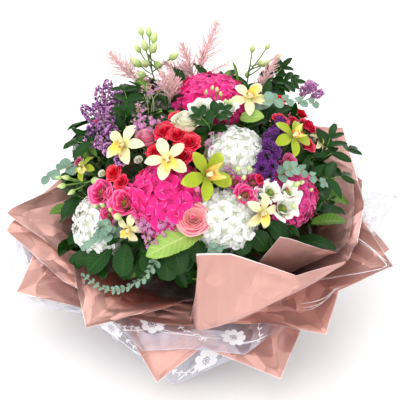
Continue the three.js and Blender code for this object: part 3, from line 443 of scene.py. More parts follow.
def clear_material():
    """Clear film: thin and glossy, with a faint even haze, milky patches of painted sheen, and denser at its
    cut edge.
    """
    s = Shader("clear_film", 0.1, Specular_IOR_Level=0.9, Base_Color=rgb(214, 218, 238))
    # Partly painted sheen: random patches of higher opacity stand in for the milky reflections of crumpled
    # film; the floor of 0.14 is the film's own faint haze.
    haze_and_sheen = s.calc("MULTIPLY_ADD", s.calc("POWER", s.noise(9.0, 3.0), 2.5), 1.5, 0.14)
    s.feed(s.surface.inputs["Alpha"], s.calc("MAXIMUM", haze_and_sheen, s.calc("MULTIPLY", cut_edge(s), 0.85)))
    crumpled(s, 0.9)
    return s.material


def print_material():
    s = Shader("white_print", 0.4, Alpha=0.92)
    return s.finish(s.mix(s.noise(60.0), rgb(236, 238, 244), rgb(252, 252, 255)))


def satin_material():
    s = Shader("satin_ribbon", 0.3, Sheen_Weight=0.4, Anisotropic=0.5)
    s.relief(s.calc("SINE", s.calc("MULTIPLY", s.across, 90.0)), 0.15, 0.0004)
    return s.finish(s.mix(s.noise(30.0), rgb(232, 190, 182), rgb(246, 216, 208)))


MATERIAL["wrap"] = wrap_material()
MATERIAL["clear"] = clear_material()
MATERIAL["print"] = print_material()
MATERIAL["satin"] = satin_material()


# ---- pieces ----
def placed(name, data):
    """Object of some data, linked into the scene."""
    made = bpy.data.objects.new(name, data)
    bpy.context.scene.collection.objects.link(made)
    return made


class Piece:
    """Gathers small meshes into one object with a slot for each material."""

    def __init__(self, name):
        self.name = name
        self.parts, self.picks, self.looks, self.materials = [], [], [], []

    def add(self, part, look, matrix=None, pick=None):
        """Adds a mesh; its pick, a share that varies the colour, is drawn where none is given."""
        if look not in self.materials:
            self.materials.append(look)
        self.parts.append(part if matrix is None else moved(part, matrix))
        self.picks.append(rng.random() if pick is None else pick)
        self.looks.append(self.materials.index(look))
        return self

    def make(self, slot, *nodes):
        """Makes the object of all that was added, in place of the named nodes."""
        points, quads, tris, tint = joined(self.parts)
        mesh = bpy.data.meshes.new(self.name)
        corners = np.concatenate([quads.ravel(), tris.ravel()])
        starts = np.concatenate([np.arange(len(quads)) * 4, len(quads) * 4 + np.arange(len(tris)) * 3])
        mesh.vertices.add(len(points))
        mesh.vertices.foreach_set("co", ((points + TIE_AXIS) * MM).astype(np.float32).ravel())
        mesh.loops.add(len(corners))
        mesh.loops.foreach_set("vertex_index", corners.astype(np.int32))
        mesh.polygons.add(len(starts))
        mesh.polygons.foreach_set("loop_start", starts.astype(np.int32))
        looks = [np.repeat(look, len(p[k])) for k in (1, 2) for p, look in zip(self.parts, self.looks)]
        mesh.polygons.foreach_set("material_index", np.concatenate(looks).astype(np.int32))
        mesh.update(calc_edges=True)
        mesh.shade_smooth()
        picks = np.concatenate([np.repeat(pick, len(p[0])) for p, pick in zip(self.parts, self.picks)])
        colours = np.column_stack([tint[:, 0], tint[:, 1], picks, tint[:, 2]])
        tints = mesh.attributes.new("tint", "FLOAT_COLOR", "POINT")
        tints.data.foreach_set("color", colours.astype(np.float32).ravel())
        mesh.validate()
        for look in self.materials:
            mesh.materials.append(MATERIAL[look])
        piece = placed(self.name, mesh)
        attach(piece, "root")
        if nodes:
            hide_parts(*nodes)
        return piece


# ---- flowers: face on the local z = 0 plane, stem going down ----
ROUND = [(0, 0.28), (0.3, 0.8), (0.6, 1.0), (0.82, 0.88), (0.94, 0.55), (1, 0.2)]
SPOON = [(0, 0.3), (0.22, 0.6), (0.5, 1.0), (0.72, 0.9), (0.9, 0.48), (1, 0.05)]
LANCE = [(0, 0.12), (0.15, 0.6), (0.4, 1.0), (0.7, 0.78), (0.9, 0.34), (1, 0.02)]
OVAL = [(0, 0.12), (0.12, 0.62), (0.4, 1.0), (0.7, 0.92), (0.9, 0.5), (1, 0.05)]
ROUND_LEAF = [(0, 0.2), (0.15, 0.7), (0.45, 1.0), (0.75, 0.85), (0.92, 0.5), (1, 0.1)]
LIP = [(0, 0.55), (0.4, 0.9), (0.7, 1), (0.9, 0.8), (1, 0.4)]
HOOD = [(0, 0.8), (0.6, 1), (0.9, 1), (1, 0.6)]


def sphere_points(count):
    i = np.arange(count)
    z = 1 - (2 * i + 1) / count
    r = np.sqrt(1 - z * z)
    return np.column_stack([r * np.cos(i * GOLDEN), r * np.sin(i * GOLDEN), z])


def floret(size, width, ruffle, seed):
    """Four overlapping round petals."""
    draw = np.random.default_rng(seed)
    parts = []
    for k in range(4):
        blade = petal(size * draw.uniform(0.92, 1.08), width, ROUND, rows=6, lift=draw.uniform(-4, 16),
                      bend=draw.uniform(-26, 6), cup=draw.uniform(-0.1, 0.25), ruffle=ruffle,
                      waves=draw.uniform(0.7, 1.3), phase=draw.uniform(0, 6))
        parts.append(moved(blade, turned("z", 90 * k + draw.uniform(-8, 8), (size * 0.08, 0, k % 2 * 0.7))))
    return joined(parts)


# Shapes of floret in a head, and the height on a unit sphere below which none grow.
FLORET_SHAPES, BARE_BELOW = 6, -0.62


def hydrangea(piece, matrix, across, deep, look, count, ruffle):
    """Head packed with four-petalled florets, each a little off its place."""
    step = math.sqrt(4 * math.pi / count) * across
    florets = [floret(step * 0.74, step * 0.54, ruffle, 50 + k) for k in range(FLORET_SHAPES)]
    eye = lathe([(0.1, 1.9), (1.2, 1.5), (1.5, 0.4), (0.9, -0.5)], 6)
    for i, p in enumerate(sphere_points(count)):
        if p[2] < BARE_BELOW:
            continue
        off = rng.normal(0, 0.14, 3)
        place = np.array([p[0] * across, p[1] * across, (p[2] - 1) * deep])
        place *= 1 + rng.uniform(-0.045, 0.03)
        way = unit(p / np.array([across, across, deep]) * deep + off * 0.9)
        m = matrix @ frame_at(place, way, rng.uniform(0, 90), rng.uniform(0.9, 1.08))
        piece.add(florets[i % FLORET_SHAPES], look, m)
        piece.add(eye, look, m, pick=0.2)
    arc = np.linspace(0.05, 3.0, 9)
    core = [(across * 0.88 * math.sin(a), deep * (0.88 * math.cos(a) - 1)) for a in arc]
    piece.add(lathe(core, 16), look, matrix, pick=0.0)


def cupped(r, count, *, wrap, flare, seed, reach=(0.1, 0.88), high=1.15, drop=0.38, roll=0.16, ruffle=0.0,
           close=0.35, curl=0.05, rows=9, cols=9):
    """Rose-like bloom: petals in a spiral from the tight heart (layer 0) to the rim (layer 1)."""
    draw = np.random.default_rng(seed)
    t = np.linspace(0, 1, rows)[:, None]
    u = np.linspace(-1, 1, cols)[None, :]
    parts = []
    for i in range(count):
        f = i / max(1, count - 1)
        half = math.radians(wrap[0] + (wrap[1] - wrap[0]) * f ** 0.7)
        rim = r * (reach[0] + (reach[1] - reach[0]) * f ** 0.85) * draw.uniform(0.95, 1.05)
        opening = smooth(t, 0.62, 1.0)
        radius = rim * (0.22 + 0.78 * np.sin(0.5 * np.pi * np.minimum(t / 0.7, 1)))
        radius = radius * (1 - close * (1 - f) ** 1.5 * smooth(t, 0.5, 1)) + flare * r * f * opening
        top = t * (1 - 0.16 * np.abs(u) ** 2.6)
        turn = i * GOLDEN + u * half * (0.5 + 0.5 * np.sin(np.pi * np.minimum(t * 0.62 + 0.16, 1)))
        wave = ruffle * r * t ** 2 * np.sin(4 * u + draw.uniform(0, 6))
        radius = radius + r * 0.05 * f * u ** 2 * t + wave * 0.6 + curl * r * smooth(t, 0.72, 1) ** 2
        z = -high * r + r * (high - drop * f) * top ** 0.85 - roll * r * f * smooth(t, 0.78, 1) + wave
        z = z + draw.uniform(-0.03, 0.03) * r
        parts.append(grid(radius * np.cos(turn), radius * np.sin(turn), z, t, 0.5 + 0.5 * u, f))
    return joined(parts)


def calyx(r, long=1.5):
    profile = [(r * 0.05, -r * 0.5), (r * 0.42, -r * 0.75), (r * 0.34, -r * 1.1), (r * 0.12, -r * long)]
    return lathe(profile, 8)


ROSE_KINDS = {
    "large": dict(count=34, wrap=(160, 52), drop=0.36, curl=0.08, flare=0.22),
    "budding": dict(count=28, wrap=(165, 70), reach=(0.06, 0.7), high=1.5, drop=0.42, flare=0.14, roll=0.1,
                    close=0.42, curl=0.06),
    "spray": dict(count=20, wrap=(150, 52), flare=0.24, ruffle=0.05, curl=0.07, rows=8, cols=7),
}
LISIANTHUS_KINDS = {
    "full": dict(count=11, wrap=(70, 46), reach=(0.3, 0.86), high=1.35, drop=0.3, flare=0.42, roll=0.1,
                 ruffle=0.08, close=0.0),
    "open": dict(count=7, wrap=(52, 44), reach=(0.5, 0.8), high=1.3, drop=0.12, flare=0.5, roll=0.16,
                 ruffle=0.07, close=0.0),
}


def rose(piece, matrix, r, look, kind, seed):
    piece.add(cupped(r, seed=seed, **ROSE_KINDS[kind]), look, matrix)
    heart = [(r * 0.02, -r * 0.04), (r * 0.1, -r * 0.1), (r * 0.17, -r * 0.3), (r * 0.12, -r)]
    piece.add(lathe(heart, 9, lobes=3, deep=0.1), look, matrix, pick=0.4)
    piece.add(calyx(r), "calyx", matrix)


def lisianthus(piece, matrix, r, look, kind, seed):
    piece.add(cupped(r, seed=seed, **LISIANTHUS_KINDS[kind]), look, matrix)
    pistil = [(0.1, -r * 0.38), (r * 0.14, -r * 0.46), (r * 0.1, -r * 0.7), (r * 0.2, -r * 1.1)]
    piece.add(lathe(pistil, 8), "eye", matrix)
    for k in range(5):
        stamen = tube([(0, 0, -r), (r * 0.12, 0, -r * 0.6), (r * 0.2, 0, -r * 0.4)], r * 0.03, 4)
        piece.add(stamen, "eye", matrix @ turned("z", 72 * k))
    piece.add(calyx(r, 1.7), "calyx", matrix)


def orchid(piece, matrix, r, look, dorsal, hang, seed):
    """Cymbidium: three sepals and two petals round a ruffled lip and its column."""
    draw = np.random.default_rng(seed)
    turn = matrix @ turned("z", dorsal)
    for k in range(5):
        wide, high = (0.275, 1.2) if k in (0, 2, 3) else (0.235, 2.4)
        blade = petal(r * draw.uniform(0.94, 1.02), r * wide, SPOON, rows=11, cols=7, lift=24 - 30 * hang,
                      bend=-34 - 62 * hang + draw.uniform(-8, 8), power=1.2,
                      cup=0.34 + draw.uniform(-0.1, 0.1), keel=-0.05, ruffle=0.018,
                      phase=draw.uniform(0, 6))
        root = (r * 0.02, 0, high - r * 0.1)
        piece.add(blade, look, turn @ turned("z", 72 * k + draw.uniform(-5, 5), root))
    trough = petal(r * 0.56, r * 0.3, LIP, rows=12, cols=11, lift=38, bend=-118, power=1.6, cup=0.95,
                   ruffle=0.08, waves=2.4)
    piece.add(trough, "lip", turn @ turned("z", 180, (r * 0.02, 0, 1)))
    hood = petal(r * 0.34, r * 0.11, HOOD, rows=6, cols=7, lift=62, bend=-46, cup=-0.9)
    piece.add(hood, "column", turn @ turned("z", 180, (-r * 0.04, 0, 2)))
    cap = lathe([(0.1, r * 0.07), (r * 0.07, r * 0.04), (r * 0.075, 0), (r * 0.02, -r * 0.05)], 8)
    piece.add(cap, "column", turn @ turned("z", 180) @ turned("y", -40, (r * 0.2, 0, r * 0.22)))
    piece.add(tube([(0, 0, -1), (0, 0, -r * 0.3)], r * 0.07), "stalk", matrix)


# Places that the undergrowth keeps off: point, direction of growth, radius.
BLOOMS = []


def keep_clear(point, wide):
    BLOOMS.append((point, growth(point), wide))


def bloom_frame(point, wide, spin=0.0):
    """Matrix of a bloom that faces out of the dome, with its place kept clear of undergrowth."""
    keep_clear(point, wide)
    return frame_at(point, growth(point), spin)


def stalk_to(piece, matrix, depth, radius, foot=None):
    """Stem from below a bloom's face down into the bunch."""
    top = (matrix @ np.array([0, 0, -depth, 1]))[:3]
    low = (matrix @ np.array([0, 0, -depth - STALK_RUN, 1]))[:3]
    end = low + (np.array([0, 0, TIE_HEIGHT]) - low) * 0.2 if foot is None else foot
    piece.add(tube(curve_through([top, low, end], 8), radius), "stalk")


# Name, look, seen at, half width, depth, lift, florets on a full sphere, ruffle, slot.
HYDRANGEAS = (
    ("hydrangea_pink_mid", "pink", (160, 190), 61, 42, 11, 112, 0.07, "hot_pink_petals"),
    ("hydrangea_pink_top", "pink", (213, 79), 62, 44, 14, 170, 0.14, "hot_pink_petals"),
    ("hydrangea_pink_right", "raspberry", (298, 186), 57, 42, 10, 150, 0.1, "raspberry_petals"),
    ("hydrangea_white_left", "white", (84, 221), 52, 44, 11, 84, 0.15, "white_petals"),
    ("hydrangea_white_upper", "white", (240, 141), 50, 42, 11, 84, 0.15, "white_petals"),
    ("hydrangea_white_low", "white", (230, 214), 51, 42, 10, 80, 0.15, "white_petals"),
)
for name, look, pixel, across, deep, lift, count, ruffle, slot in HYDRANGEAS:
    head = Piece(name + "_bloom")
    m = bloom_frame(on_dome(pixel, lift), across)
    hydrangea(head, m, across, deep, look, count, ruffle)
    stalk_to(head, m, deep * 1.7, 2.6)
    head.make(slot, name)
head = Piece("hydrangea_white_back_bloom")
hydrangea(head, bloom_frame(dome_point(108, 56, 4), 66), 66, 48, "white", 110, 0.13)
head.make("white_petals", "hydrangea_white_back")

# Name, look, seen at, size, lift, kind, tilt of the face, slot.
LARGE_ROSES = (
    ("rose_pink", "rose", (193, 216), 26, 15, "large", (0, 0, 0.2), "rose_petals"),
    ("rose_cream", "cream", (185, 111), 29, 28, "budding", (0, 0.3, 0.6), "cream_petals"),
    ("rose_blush", "blush", (144, 130), 23, 18, "budding", (0, 0.1, 0.5), "rose_petals"),
)
for name, look, pixel, r, lift, kind, tilt, slot in LARGE_ROSES:
    head = Piece(name + "_bloom")
    m = bloom_frame(on_dome(pixel, lift), r)
    rose(head, tilted(m, tilt), r, look, kind, len(name))
    stalk_to(head, m, r * 1.4, 2.2)
    head.make(slot, name)


def spray(name, look, slot, flower, kind, heads):
    """Several blooms on one branching stalk; each head is pixel x and y, size, lift."""
    piece = Piece(name + "_blooms")
    places = [(bloom_frame(on_dome((px, py), lift), r, rng.uniform(0, 360)), r) for px, py, r, lift in heads]
    fork = np.mean([m[:3, 3] - m[:3, 2] * FORK_DEPTH for m, _ in places], axis=0)
    for i, (m, r) in enumerate(places):
        flower(piece, m, r, look, kind, i + len(name))
        stalk_to(piece, m, r * 1.3, 1.3, fork)
    piece.make(slot, name)


spray("spray_roses_red", "red", "red_petals", rose, "spray", (
    (164, 127, 19, 12), (177, 131, 18, 15), (189, 138, 18, 13), (181, 152, 20, 14), (154, 148, 15, 6),
    (176, 113, 13, 8)))
spray("spray_roses_right", "red", "red_petals", rose, "spray", (
    (283, 116, 15, 10), (304, 110, 14, 8), (312, 122, 18, 12), (311, 141, 16, 8), (283, 96, 12, 8),
    (296, 118, 10, 8)))
spray("spray_roses_left", "red", "red_petals", rose, "spray", ((111, 170, 15, 5), (119, 180, 13, 3)))
spray("lisianthus_pink_left", "magenta", "hot_pink_petals", lisianthus, "full", (
    (97, 190, 21, 11), (121, 200, 24, 11), (112, 193, 16, 4), (106, 214, 16, 7)))
spray("lisianthus_pink_right", "magenta", "hot_pink_petals", lisianthus, "full", (
    (255, 180, 16, 5), (247, 193, 16, 9), (236, 180, 13, 0)))
spray("lisianthus_white_right", "white_open", "cream_petals", lisianthus, "open", (
    (287, 207, 20, 24), (291, 190, 19, 24), (273, 190, 17, 20), (262, 194, 13, 8)))
spray("lisianthus_white_top", "white_open", "cream_petals", lisianthus, "full", (
    (203, 103, 20, 20), (221, 107, 18, 18), (231, 104, 12, 16)))

back = Piece("roses_back_blooms")
for k, (bearing, tilt, r) in enumerate(((40, 68, 25), (58, 50, 27), (80, 66, 28), (86, 36, 24))):
    m = bloom_frame(dome_point(bearing, tilt, 3), r, 40 * k)
    rose(back, m, r, "blush", "large", 60 + k)
    stalk_to(back, m, r * 1.4, 2)
back.make("hot_pink_petals", "roses_back")

# Name, look, seen at, size, lift, turn of the back sepal, how far it hangs open, tilt of its face.
ORCHIDS = (
    ("orchid_green_mid", "lime", (207, 175), 46, 18, 184, 0.1, (0.3, -0.3, -0.25)),
    ("orchid_green_right", "lime", (293, 136), 38, 26, 176, 0.3, (0.1, -0.3, 0)),
    ("orchid_green_left", "lime", (83, 167), 27, 6, 176, 0.4, (0, 0, 0)),
    ("orchid_cream_left", "pale", (124, 144), 40, 12, 96, 0.15, (-0.2, -0.3, 0)),
    ("orchid_cream_mid", "pale", (167, 159), 38, 22, 112, 0.2, (0.15, -0.4, 0)),
    ("orchid_cream_low", "pale", (129, 229), 29, 8, 84, 0.5, (0, -0.2, -0.3)),
    ("orchid_cream_right", "pale", (262, 212), 34, 20, 60, 0.3, (0.3, -0.2, -0.4)),
    ("orchid_cream_top", "pale", (249, 98), 38, 16, 200, 0.15, (-0.2, -0.5, 0.2)),
    ("orchid_cream_edge", "pale", (319, 140), 24, 4, 30, 0.5, (0.4, 0, 0)),
)
for k, (name, look, pixel, r, lift, dorsal, hang, tilt) in enumerate(ORCHIDS):
    bloom = Piece(name + "_bloom")
    m = tilted(bloom_frame(on_dome(pixel, lift), r * 0.8), tilt)
    orchid(bloom, m, r, look, dorsal, hang, 80 + k)
    stalk_to(bloom, m, r * 0.3, 1.8)
    bloom.make("lime_petals" if look == "lime" else "cream_petals", name)


# ---- plumes, spires and small-flowered sprays ----
# A tuft: a small long octahedron.
TUFT = (
    np.array([[1, 0, 0], [-1, 0, 0], [0, 1, 0], [0, -1, 0], [0, 0, 1.5], [0, 0, -1.2]]),
    NO_QUADS,
    np.array([[0, 2, 4], [2, 1, 4], [1, 3, 4], [3, 0, 4], [2, 0, 5], [1, 2, 5], [3, 1, 5], [0, 3, 5]]),
    np.array([[0.5, 0.5, 0]] * 4 + [[1, 0.5, 0], [0, 0.5, 0]]),
)


def scattered(part, places, ways, sizes):
    """One mesh of many copies of a small part, each with its z along a way."""
    points, quads, tris, tint = part
    n, k = len(places), len(points)
    z = ways / np.linalg.norm(ways, axis=1)[:, None]
    side = np.where(np.abs(z[:, 2:3]) > 0.9, np.array([[1.0, 0, 0]]), np.array([[0, 0, 1.0]]))
    x = np.cross(side, z)
    x /= np.linalg.norm(x, axis=1)[:, None]
    axes = np.stack([x, np.cross(z, x), z], axis=1) * sizes.reshape(-1, 1, 1)
    cloud = np.einsum("kj,njc->nkc", points, axes) + places[:, None, :]
    shift = (np.arange(n) * k)[:, None, None]
    return (cloud.reshape(-1, 3), (quads[None] + shift).reshape(-1, 4), (tris[None] + shift).reshape(-1, 3),
            np.tile(tint, (n, 1)))


def plume(piece, base, tip, wide, branches):
    """Feathery frond: side branches, each set with short tufts, tapering to the tip."""
    axis = tip - base
    length = np.linalg.norm(axis)
    m = frame_at(base, axis, rng.uniform(0, 360))
    bow = unit(np.cross(axis, VIEW)) * length * 0.03
    spine = curve_through([base, (base + tip) / 2 + bow, tip], 14)
    piece.add(tube(spine, np.linspace(1.3, 0.3, 14), 5), "plume", pick=0.1)
    places, ways = [], []
    for i in range(branches):
        t = 0.26 + 0.72 * (i / branches) ** 0.9
        a = i * GOLDEN
        reach = wide * (1.1 - t) * rng.uniform(0.8, 1.2) + 2.5
        start = np.array([0, 0, length * t])
        out = np.array([math.cos(a), math.sin(a), 0.35 + 0.6 * t]) / 1.25
        bend = np.array([0, 0, 0.35])
        steps = max(3, int(reach / 1.9))
        for s in range(steps):
            q = s / steps
            at = start + out * reach * q + bend * reach * q * q
            tuft = 0.7 + 1.9 * (1 - q) * (0.4 + 0.6 * reach / wide)
            for _ in range(4):
                way = unit(rng.normal(0, 1, 3) + out * 0.5)
                places.append(at + way * tuft * rng.uniform(0.15, 1.0))
                ways.append(way)
        line = np.array([start + out * reach * q + bend * reach * q * q for q in (0, 0.33, 0.66, 1)])
        piece.add(tube(line, (0.55, 0.45, 0.35, 0.2), 4), "plume", m, pick=0.1)
    tufts = scattered(TUFT, np.array(places), np.array(ways), rng.uniform(0.5, 1.0, len(places)))
    piece.add(tufts, "plume", m, pick=0.7)


# Name, nodes, where it is rooted, and each frond: seen tip, half width, branches, depth behind the root.
PLUMES = (
    ("astilbe_top", ("astilbe_top",), (196, 80), (
        ((218, 20), 44, 58, 10), ((181, 42), 36, 42, 10), ((163, 62), 36, 48, -10), ((157, 104), 18, 20, -70),
        ((204, 50), 24, 26, 4), ((172, 74), 34, 40, -16), ((184, 64), 30, 34, -6), ((230, 62), 18, 18, 0))),
    ("astilbe_top_low", (), (172, 106), (
        ((160, 70), 30, 40, -6), ((170, 72), 30, 40, 0), ((178, 78), 26, 34, 4))),
    ("astilbe_left", ("astilbe_left",), (139, 85), (((109, 52), 40, 50, 0), ((126, 62), 22, 26, -8))),
    ("astilbe_right", ("astilbe_right",), (256, 96), (((279, 53), 26, 44, 0), ((262, 78), 24, 34, -12))),
)
for name, nodes, foot, fronds in PLUMES:
    plumes = Piece(name + "_plumes")
    root = on_dome(foot, PLUME_ROOT)
    for tip, wide, branches, depth in fronds:
        plume(plumes, root, at_depth(tip, root[1] + depth), wide, branches)
    plumes.make("blush_plume", *nodes)


def small_star(cup=30):
    """Five-petalled flower of radius 1."""
    draw = np.random.default_rng(3)
    blade = petal(1.0, 0.42, ROUND, rows=4, cols=3, lift=cup, bend=-cup, cup=0.2)
    return joined([moved(blade, turned("z", 72 * k + draw.uniform(-6, 6), (0.12, 0, 0))) for k in range(5)])


FUNNEL = lathe([(0.15, -1.2), (0.35, -0.4), (0.75, 0.25), (1.05, 0.75)], 5, lobes=5, deep=0.15)
# Florets for each mm of a spire's crowded top, and the length of spire beyond which they thin out.
FLORETS_PER_MM, FULL_LENGTH = 2.7, 150


def spires(name, look, foot, tips, *, size, reach, span=0.5, starry=False, dark_look=None):
    """Forked stalks whose tops are crowded with papery florets, some dark and some open as stars."""
    piece = Piece(name + "_florets")
    base = on_dome(foot, SPRAY_ROOT)
    for px, py, lift in tips:
        top = on_dome((px, py), lift)
        axis = top - base
        length = np.linalg.norm(axis)
        m = frame_at(base, axis)
        bow = unit(rng.normal(0, 1, 3)) * length * 0.05
        line = curve_through([base, base + axis * 0.55 + bow, top], 9)
        piece.add(tube(line, np.linspace(1.3, 0.5, 9), 5), "stalk")
        count = int(min(length, FULL_LENGTH) * span * FLORETS_PER_MM)
        q = rng.uniform(1 - span, 1.0, count)
        a = rng.uniform(0, 2 * np.pi, count)
        radius = reach * (0.35 + 0.65 * np.sin(np.pi * np.clip((1 - q) / span * 0.85 + 0.12, 0, 1)))
        offsets = np.column_stack([np.cos(a) * radius, np.sin(a) * radius, radius * 0.4])
        inner = np.array([np.interp(q, np.linspace(0, 1, 9), line[:, k]) for k in range(3)]).T
        places = inner + offsets @ m[:3, :3].T
        ways = (offsets + np.array([0, 0, reach * 0.9])) @ m[:3, :3].T + rng.normal(0, 2.2, (count, 3))
        dark = rng.random(count) < 0.35
        for chosen, tone in ((dark, dark_look or look), (~dark, look)):
            sizes = size * rng.uniform(0.75, 1.2, chosen.sum())
            piece.add(scattered(FUNNEL, places[chosen], ways[chosen], sizes), tone)
        if starry:
            chosen = rng.random(count) < 0.25
            sizes = np.full(chosen.sum(), size * 0.8)
            piece.add(scattered(small_star(), places[chosen], ways[chosen], sizes), "wax")
    piece.make("purple_florets", name)


# Each tip is pixel x and y, lift.
spires("statice_left", "lilac", (114, 156), (
    (108, 82, 26), (99, 89, 24), (118, 92, 16), (84, 108, 24), (96, 104, 26), (112, 108, 22), (90, 126, 22),
    (102, 122, 24), (112, 128, 16), (98, 140, 18), (108, 148, 14), (86, 138, 14), (122, 160, 8)),
    size=1.95, reach=9.5, starry=True, dark_look="violet")
spires("statice_violet", "violet", (261, 166), (
    (281, 120, 16), (274, 130, 18), (270, 142, 18), (276, 150, 14), (266, 156, 16), (262, 168, 14),
    (272, 166, 16), (268, 178, 12), (280, 138, 12), (256, 162, 6)),
    size=3.2, reach=9.0, span=0.6)
spires("statice_tip_right", "lilac", (298, 104), (
    (316, 84, 26), (304, 88, 24), (322, 92, 20), (310, 82, 24)), size=2.6, reach=6.0, starry=True)


def wax(name, foot, tips):
    """Waxflower: fine twigs ending in five-petalled flowers."""
    piece = Piece(name + "_sprigs")
    base = on_dome(foot, SPRAY_ROOT)
    star = small_star(18)
    cup = lathe([(0.05, 0.22), (0.22, 0.16), (0.3, -0.1), (0.16, -0.8)], 6)
    for px, py, lift, wide, count in tips:
        top = on_dome((px, py), lift)
        axis = top - base
        m = frame_at(top, axis)
        middle = base + axis * 0.6 + rng.normal(0, 4, 3)
        piece.add(tube(curve_through([base, middle, top - axis * 0.08], 8), 0.9, 5), "twig")
        for _ in range(count):
            off = rng.normal(0, 1, 3) * np.array([wide, wide, wide * 0.6])
            place = top + m[:3, :3] @ off
            neck = top - unit(axis) * (wide * 1.3)
            stalk = curve_through([neck, (neck + place) / 2 + rng.normal(0, 1, 3), place], 4)
            piece.add(tube(stalk, 0.35, 4), "twig")
            way = unit(place - neck) + growth(place) * 0.4
            size = rng.uniform(2.9, 4.2)
            flower = frame_at(place, way, rng.uniform(0, 72), size)
            piece.add(star, "wax", flower)
            piece.add(cup, "lip", flower, pick=0.3)
    piece.make("lilac_florets", name)


# Each tip is pixel x and y, lift, spread, flowers.
wax("waxflower_upper", (150, 132), (
    (146, 78, 22, 8, 16), (150, 88, 16, 8, 14), (158, 90, 10, 7, 10), (138, 112, 16, 7, 14),
    (142, 124, 14, 8, 18), (155, 122, 16, 7, 14), (136, 124, 10, 6, 8)))
wax("waxflower_low", (158, 214), (
    (140, 220, 12, 7, 12), (144, 230, 14, 9, 18), (154, 236, 12, 9, 16), (164, 228, 10, 8, 14),
    (172, 222, 8, 7, 10), (150, 244, 8, 7, 9), (218, 136, -4, 7, 12), (211, 144, -6, 7, 10),
    (230, 172, 2, 7, 12)))


# ---- buds ----
def bud_at(piece, neck, tip, r, stalk=1.3, look="bud"):
    """Closed spiral bud with its green sepals, on a thin bowed stalk."""
    line = curve_through([neck, (neck + tip) / 2 + np.array([0, 0, -2.0]), tip], 7)
    piece.add(tube(line, stalk, 5), "stalk", pick=0.5)
    profile = [(r * 0.2, -r * 0.2), (r * 0.62, r * 0.2), (r * 0.95, r * 0.9), (r * 0.86, r * 1.7),
               (r * 0.5, r * 2.5), (r * 0.08, r * 3.1)]
    m = frame_at(tip, unit(tip - neck), rng.uniform(0, 360))
    piece.add(lathe(profile, 12, lobes=5, deep=0.07), look, m)
    for k in range(5):
        sepal = petal(r * 2.0, r * 0.24, LANCE, rows=6, cols=3, lift=78, bend=26, cup=0.2)
        piece.add(sepal, "calyx", m @ turned("z", 72 * k, (r * 0.55, 0, 0)))


def bud_spray(name, foot, buds):
    """Buds on stalks that part along the first one; each is pixel x and y, size, depth."""
    piece = Piece(name + "_sprays")
    base = on_dome(foot, SPRAY_ROOT)
    tips = [at_depth((px, py), base[1] + depth) for px, py, _, depth in buds]
    for i, (tip, (_, _, r, _)) in enumerate(zip(tips, buds)):
        neck = base + (tips[0] - base) * (0.2 + 0.5 * ((i * 0.37) % 1)) if i else base
        bud_at(piece, neck, tip, r)
    piece.make("pale_buds", name)


bud_spray("buds_top_left", (158, 92), (
    (142, 35, 6, 0), (149, 36, 6.5, 8), (153, 42, 7.5, 0), (146, 50, 7.5, -8), (140, 52, 6, 4),
    (151, 52, 8.5, -4), (141, 66, 8.5, 6), (148, 64, 8, -6), (155, 62, 7, 4), (170, 59, 7, 0),
    (160, 72, 6, 6), (146, 76, 7, 0)))
bud_spray("buds_top_right", (247, 84), (
    (252, 52, 5.5, 0), (266, 49, 4.5, 0), (258, 64, 6, -6), (262, 66, 6, 2), (275, 58, 5, 6),
    (248, 72, 5, 4)))
bud_spray("buds_left", (100, 178), (
    (66, 185, 5.5, 6), (70, 178, 5, 0), (80, 172, 5, -10), (75, 190, 5, -10), (62, 178, 4, 4),
    (92, 181, 7, -14)))

# Pixel x and y, lift, size, look, kind.
SMALL_BLOOMS = (
    (95, 120, 10, 12, "magenta", "spray"), (98, 104, 12, 11, "magenta", "spray"),
    (76, 160, 4, 9, "magenta", "spray"), (74, 146, 10, 7, "white", "spray"),
    (58, 176, 12, 6, "white", "spray"), (100, 172, 10, 8, "cream", "budding"),
    (268, 96, 10, 12, "magenta", "spray"),
    (292, 158, 10, 13, "raspberry", "spray"), (137, 158, 4, 9, "cream", "budding"),
    (262, 178, 12, 9, "red", "spray"), (300, 130, 6, 10, "red", "spray"), (322, 128, 4, 11, "blush", "spray"),
)
extras = Piece("small_blooms")
for k, (px, py, lift, r, look, kind) in enumerate(SMALL_BLOOMS):
    m = bloom_frame(on_dome((px, py), lift), r, 40 * k)
    rose(extras, m, r, look, kind, 200 + k)
    stalk_to(extras, m, r * 1.3, 1.2)
extras.make("hot_pink_petals")

# Pixel x and y, lift, size.
LOOSE_BUDS = (
    (118, 216, 14, 8), (103, 206, 14, 4.5), (110, 210, 14, 4.5), (96, 206, 14, 4), (206, 92, 22, 3.5),
    (212, 88, 24, 4), (217, 90, 24, 4), (221, 94, 22, 4), (230, 102, 16, 5), (225, 101, 18, 4),
    (238, 169, 16, 6), (249, 169, 16, 5), (244, 177, 16, 5), (239, 197, 18, 3.5), (288, 173, 16, 4),
    (296, 184, 26, 6), (302, 182, 24, 5), (311, 190, 16, 4), (294, 206, 26, 5), (197, 189, 12, 6),
)
small = Piece("loose_buds")
for k, (px, py, lift, r) in enumerate(LOOSE_BUDS, 1):
    tip = on_dome((px, py), lift)
    neck = tip - growth(tip) * 30 + rng.normal(0, 3, 3)
    bud_at(small, neck, tip - growth(tip) * r, r * 0.85, 0.8, "blush" if k == len(LOOSE_BUDS) else "bud")
small.make("pale_buds")


# ---- foliage ----
def leaf(length, width, outline=LANCE, *, bend=-30, teeth=0, seed=0):
    draw = np.random.default_rng(seed)
    rows = 2 * teeth + 5 if teeth else 11
    return petal(length, width, outline, rows=rows, cols=7, lift=12, bend=bend + draw.uniform(-14, 14),
                 cup=0.18, keel=0.14, ruffle=0.025, waves=1.6, phase=draw.uniform(0, 6), teeth=teeth)


